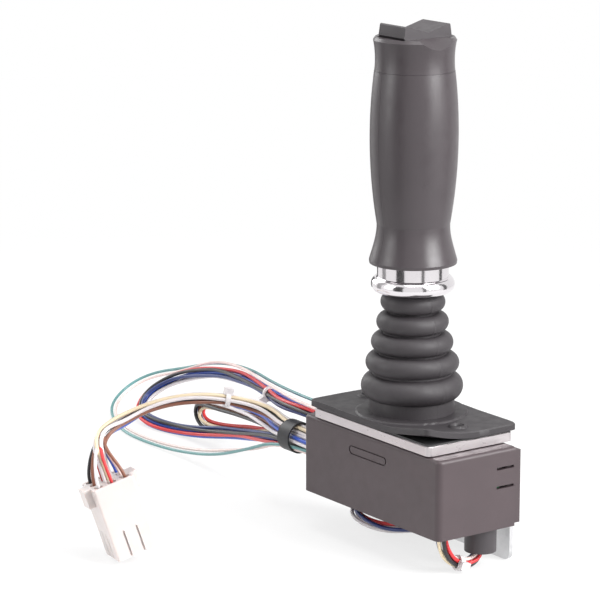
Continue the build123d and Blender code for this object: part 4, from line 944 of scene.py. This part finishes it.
class JOYSTICK_OT_under_loops(bpy.types.Operator):
    """Lay the two wire loops under the cover box"""

    bl_idname = "joystick.under_loops"
    bl_label = "Loops under the box"

    def execute(self, context):
        lay_cord("under_left_wires", "under_loop_left", UNDER_LEFT_ROUTE, UNDER_LEFT_WIRES,
                 SMALL_BUNDLE_DIAMETER, twist_turns=0.5)
        lay_cord("under_front_wires", "under_loop_front", UNDER_FRONT_ROUTE, UNDER_FRONT_WIRES,
                 SMALL_BUNDLE_DIAMETER, twist_turns=0.5, middles=[middle_of("under_tie")])
        return {"FINISHED"}


class JOYSTICK_OT_lead(bpy.types.Operator):
    """Lay the lead and fan its wires into the connector"""

    bl_idname = "joystick.lead"
    bl_label = "Connector lead"

    def execute(self, context):
        tails = connector_tails()
        lay_cord("connector_lead_wires", "connector_lead", LEAD_ROUTE, LEAD_WIRES, BUNDLE_DIAMETER,
                 middles=[BAND_MIDDLE, middle_of("lead_tie")])
        return {"FINISHED"}


class JOYSTICK_OT_boot(bpy.types.Operator):
    """Make the folded rubber boot and its flange"""

    bl_idname = "joystick.boot"
    bl_label = "Boot"

    def execute(self, context):
        build_bellows()
        build_flange()
        return {"FINISHED"}


class JOYSTICK_OT_ring(bpy.types.Operator):
    """Make the polished lock ring"""

    bl_idname = "joystick.ring"
    bl_label = "Lock ring"

    def execute(self, context):
        build_ring()
        return {"FINISHED"}


class JOYSTICK_OT_finishes(bpy.types.Operator):
    """Give every CAD piece its detailed finish"""

    bl_idname = "joystick.finishes"
    bl_label = "Finishes"

    def execute(self, context):
        dress_frame()
        return {"FINISHED"}


class JOYSTICK_OT_stage(bpy.types.Operator):
    """Set the floor, the lamps and the white background"""

    bl_idname = "joystick.stage"
    bl_label = "Stage"

    def execute(self, context):
        build_stage()
        return {"FINISHED"}


class JOYSTICK_PT_panel(bpy.types.Panel):
    """Lists the operators and the settings in the 3D view's sidebar"""

    bl_idname = "JOYSTICK_PT_panel"
    bl_label = "Joystick"
    bl_space_type = "VIEW_3D"
    bl_region_type = "UI"
    bl_category = "Joystick"

    def draw(self, context):
        for operator in OPERATORS:
            self.layout.operator(operator.bl_idname)
        for settings in (context.scene.joystick_sizes, context.scene.joystick_colours):
            for name in settings.__annotations__:
                self.layout.prop(settings, name)


OPERATORS = (JOYSTICK_OT_camera, JOYSTICK_OT_finishes, JOYSTICK_OT_lead, JOYSTICK_OT_loops,
             JOYSTICK_OT_under_loops, JOYSTICK_OT_boot, JOYSTICK_OT_ring, JOYSTICK_OT_stage)
CLASSES = (JoystickSizes, JoystickColours, *OPERATORS, JOYSTICK_PT_panel)


def register():
    """Register the classes and hang the settings on the scene."""
    for member in CLASSES:
        bpy.utils.register_class(member)
    bpy.types.Scene.joystick_sizes = PointerProperty(type=JoystickSizes)
    bpy.types.Scene.joystick_colours = PointerProperty(type=JoystickColours)


def unregister():
    """Take the settings and classes away again."""
    del bpy.types.Scene.joystick_colours
    del bpy.types.Scene.joystick_sizes
    for member in reversed(CLASSES):
        bpy.utils.unregister_class(member)


def main():
    register()
    bpy.ops.joystick.camera()
    bpy.ops.joystick.finishes()
    bpy.ops.joystick.lead()
    bpy.ops.joystick.loops()
    bpy.ops.joystick.under_loops()
    bpy.ops.joystick.boot()
    bpy.ops.joystick.ring()
    bpy.ops.joystick.stage()


if __name__ == "__main__":
    main()
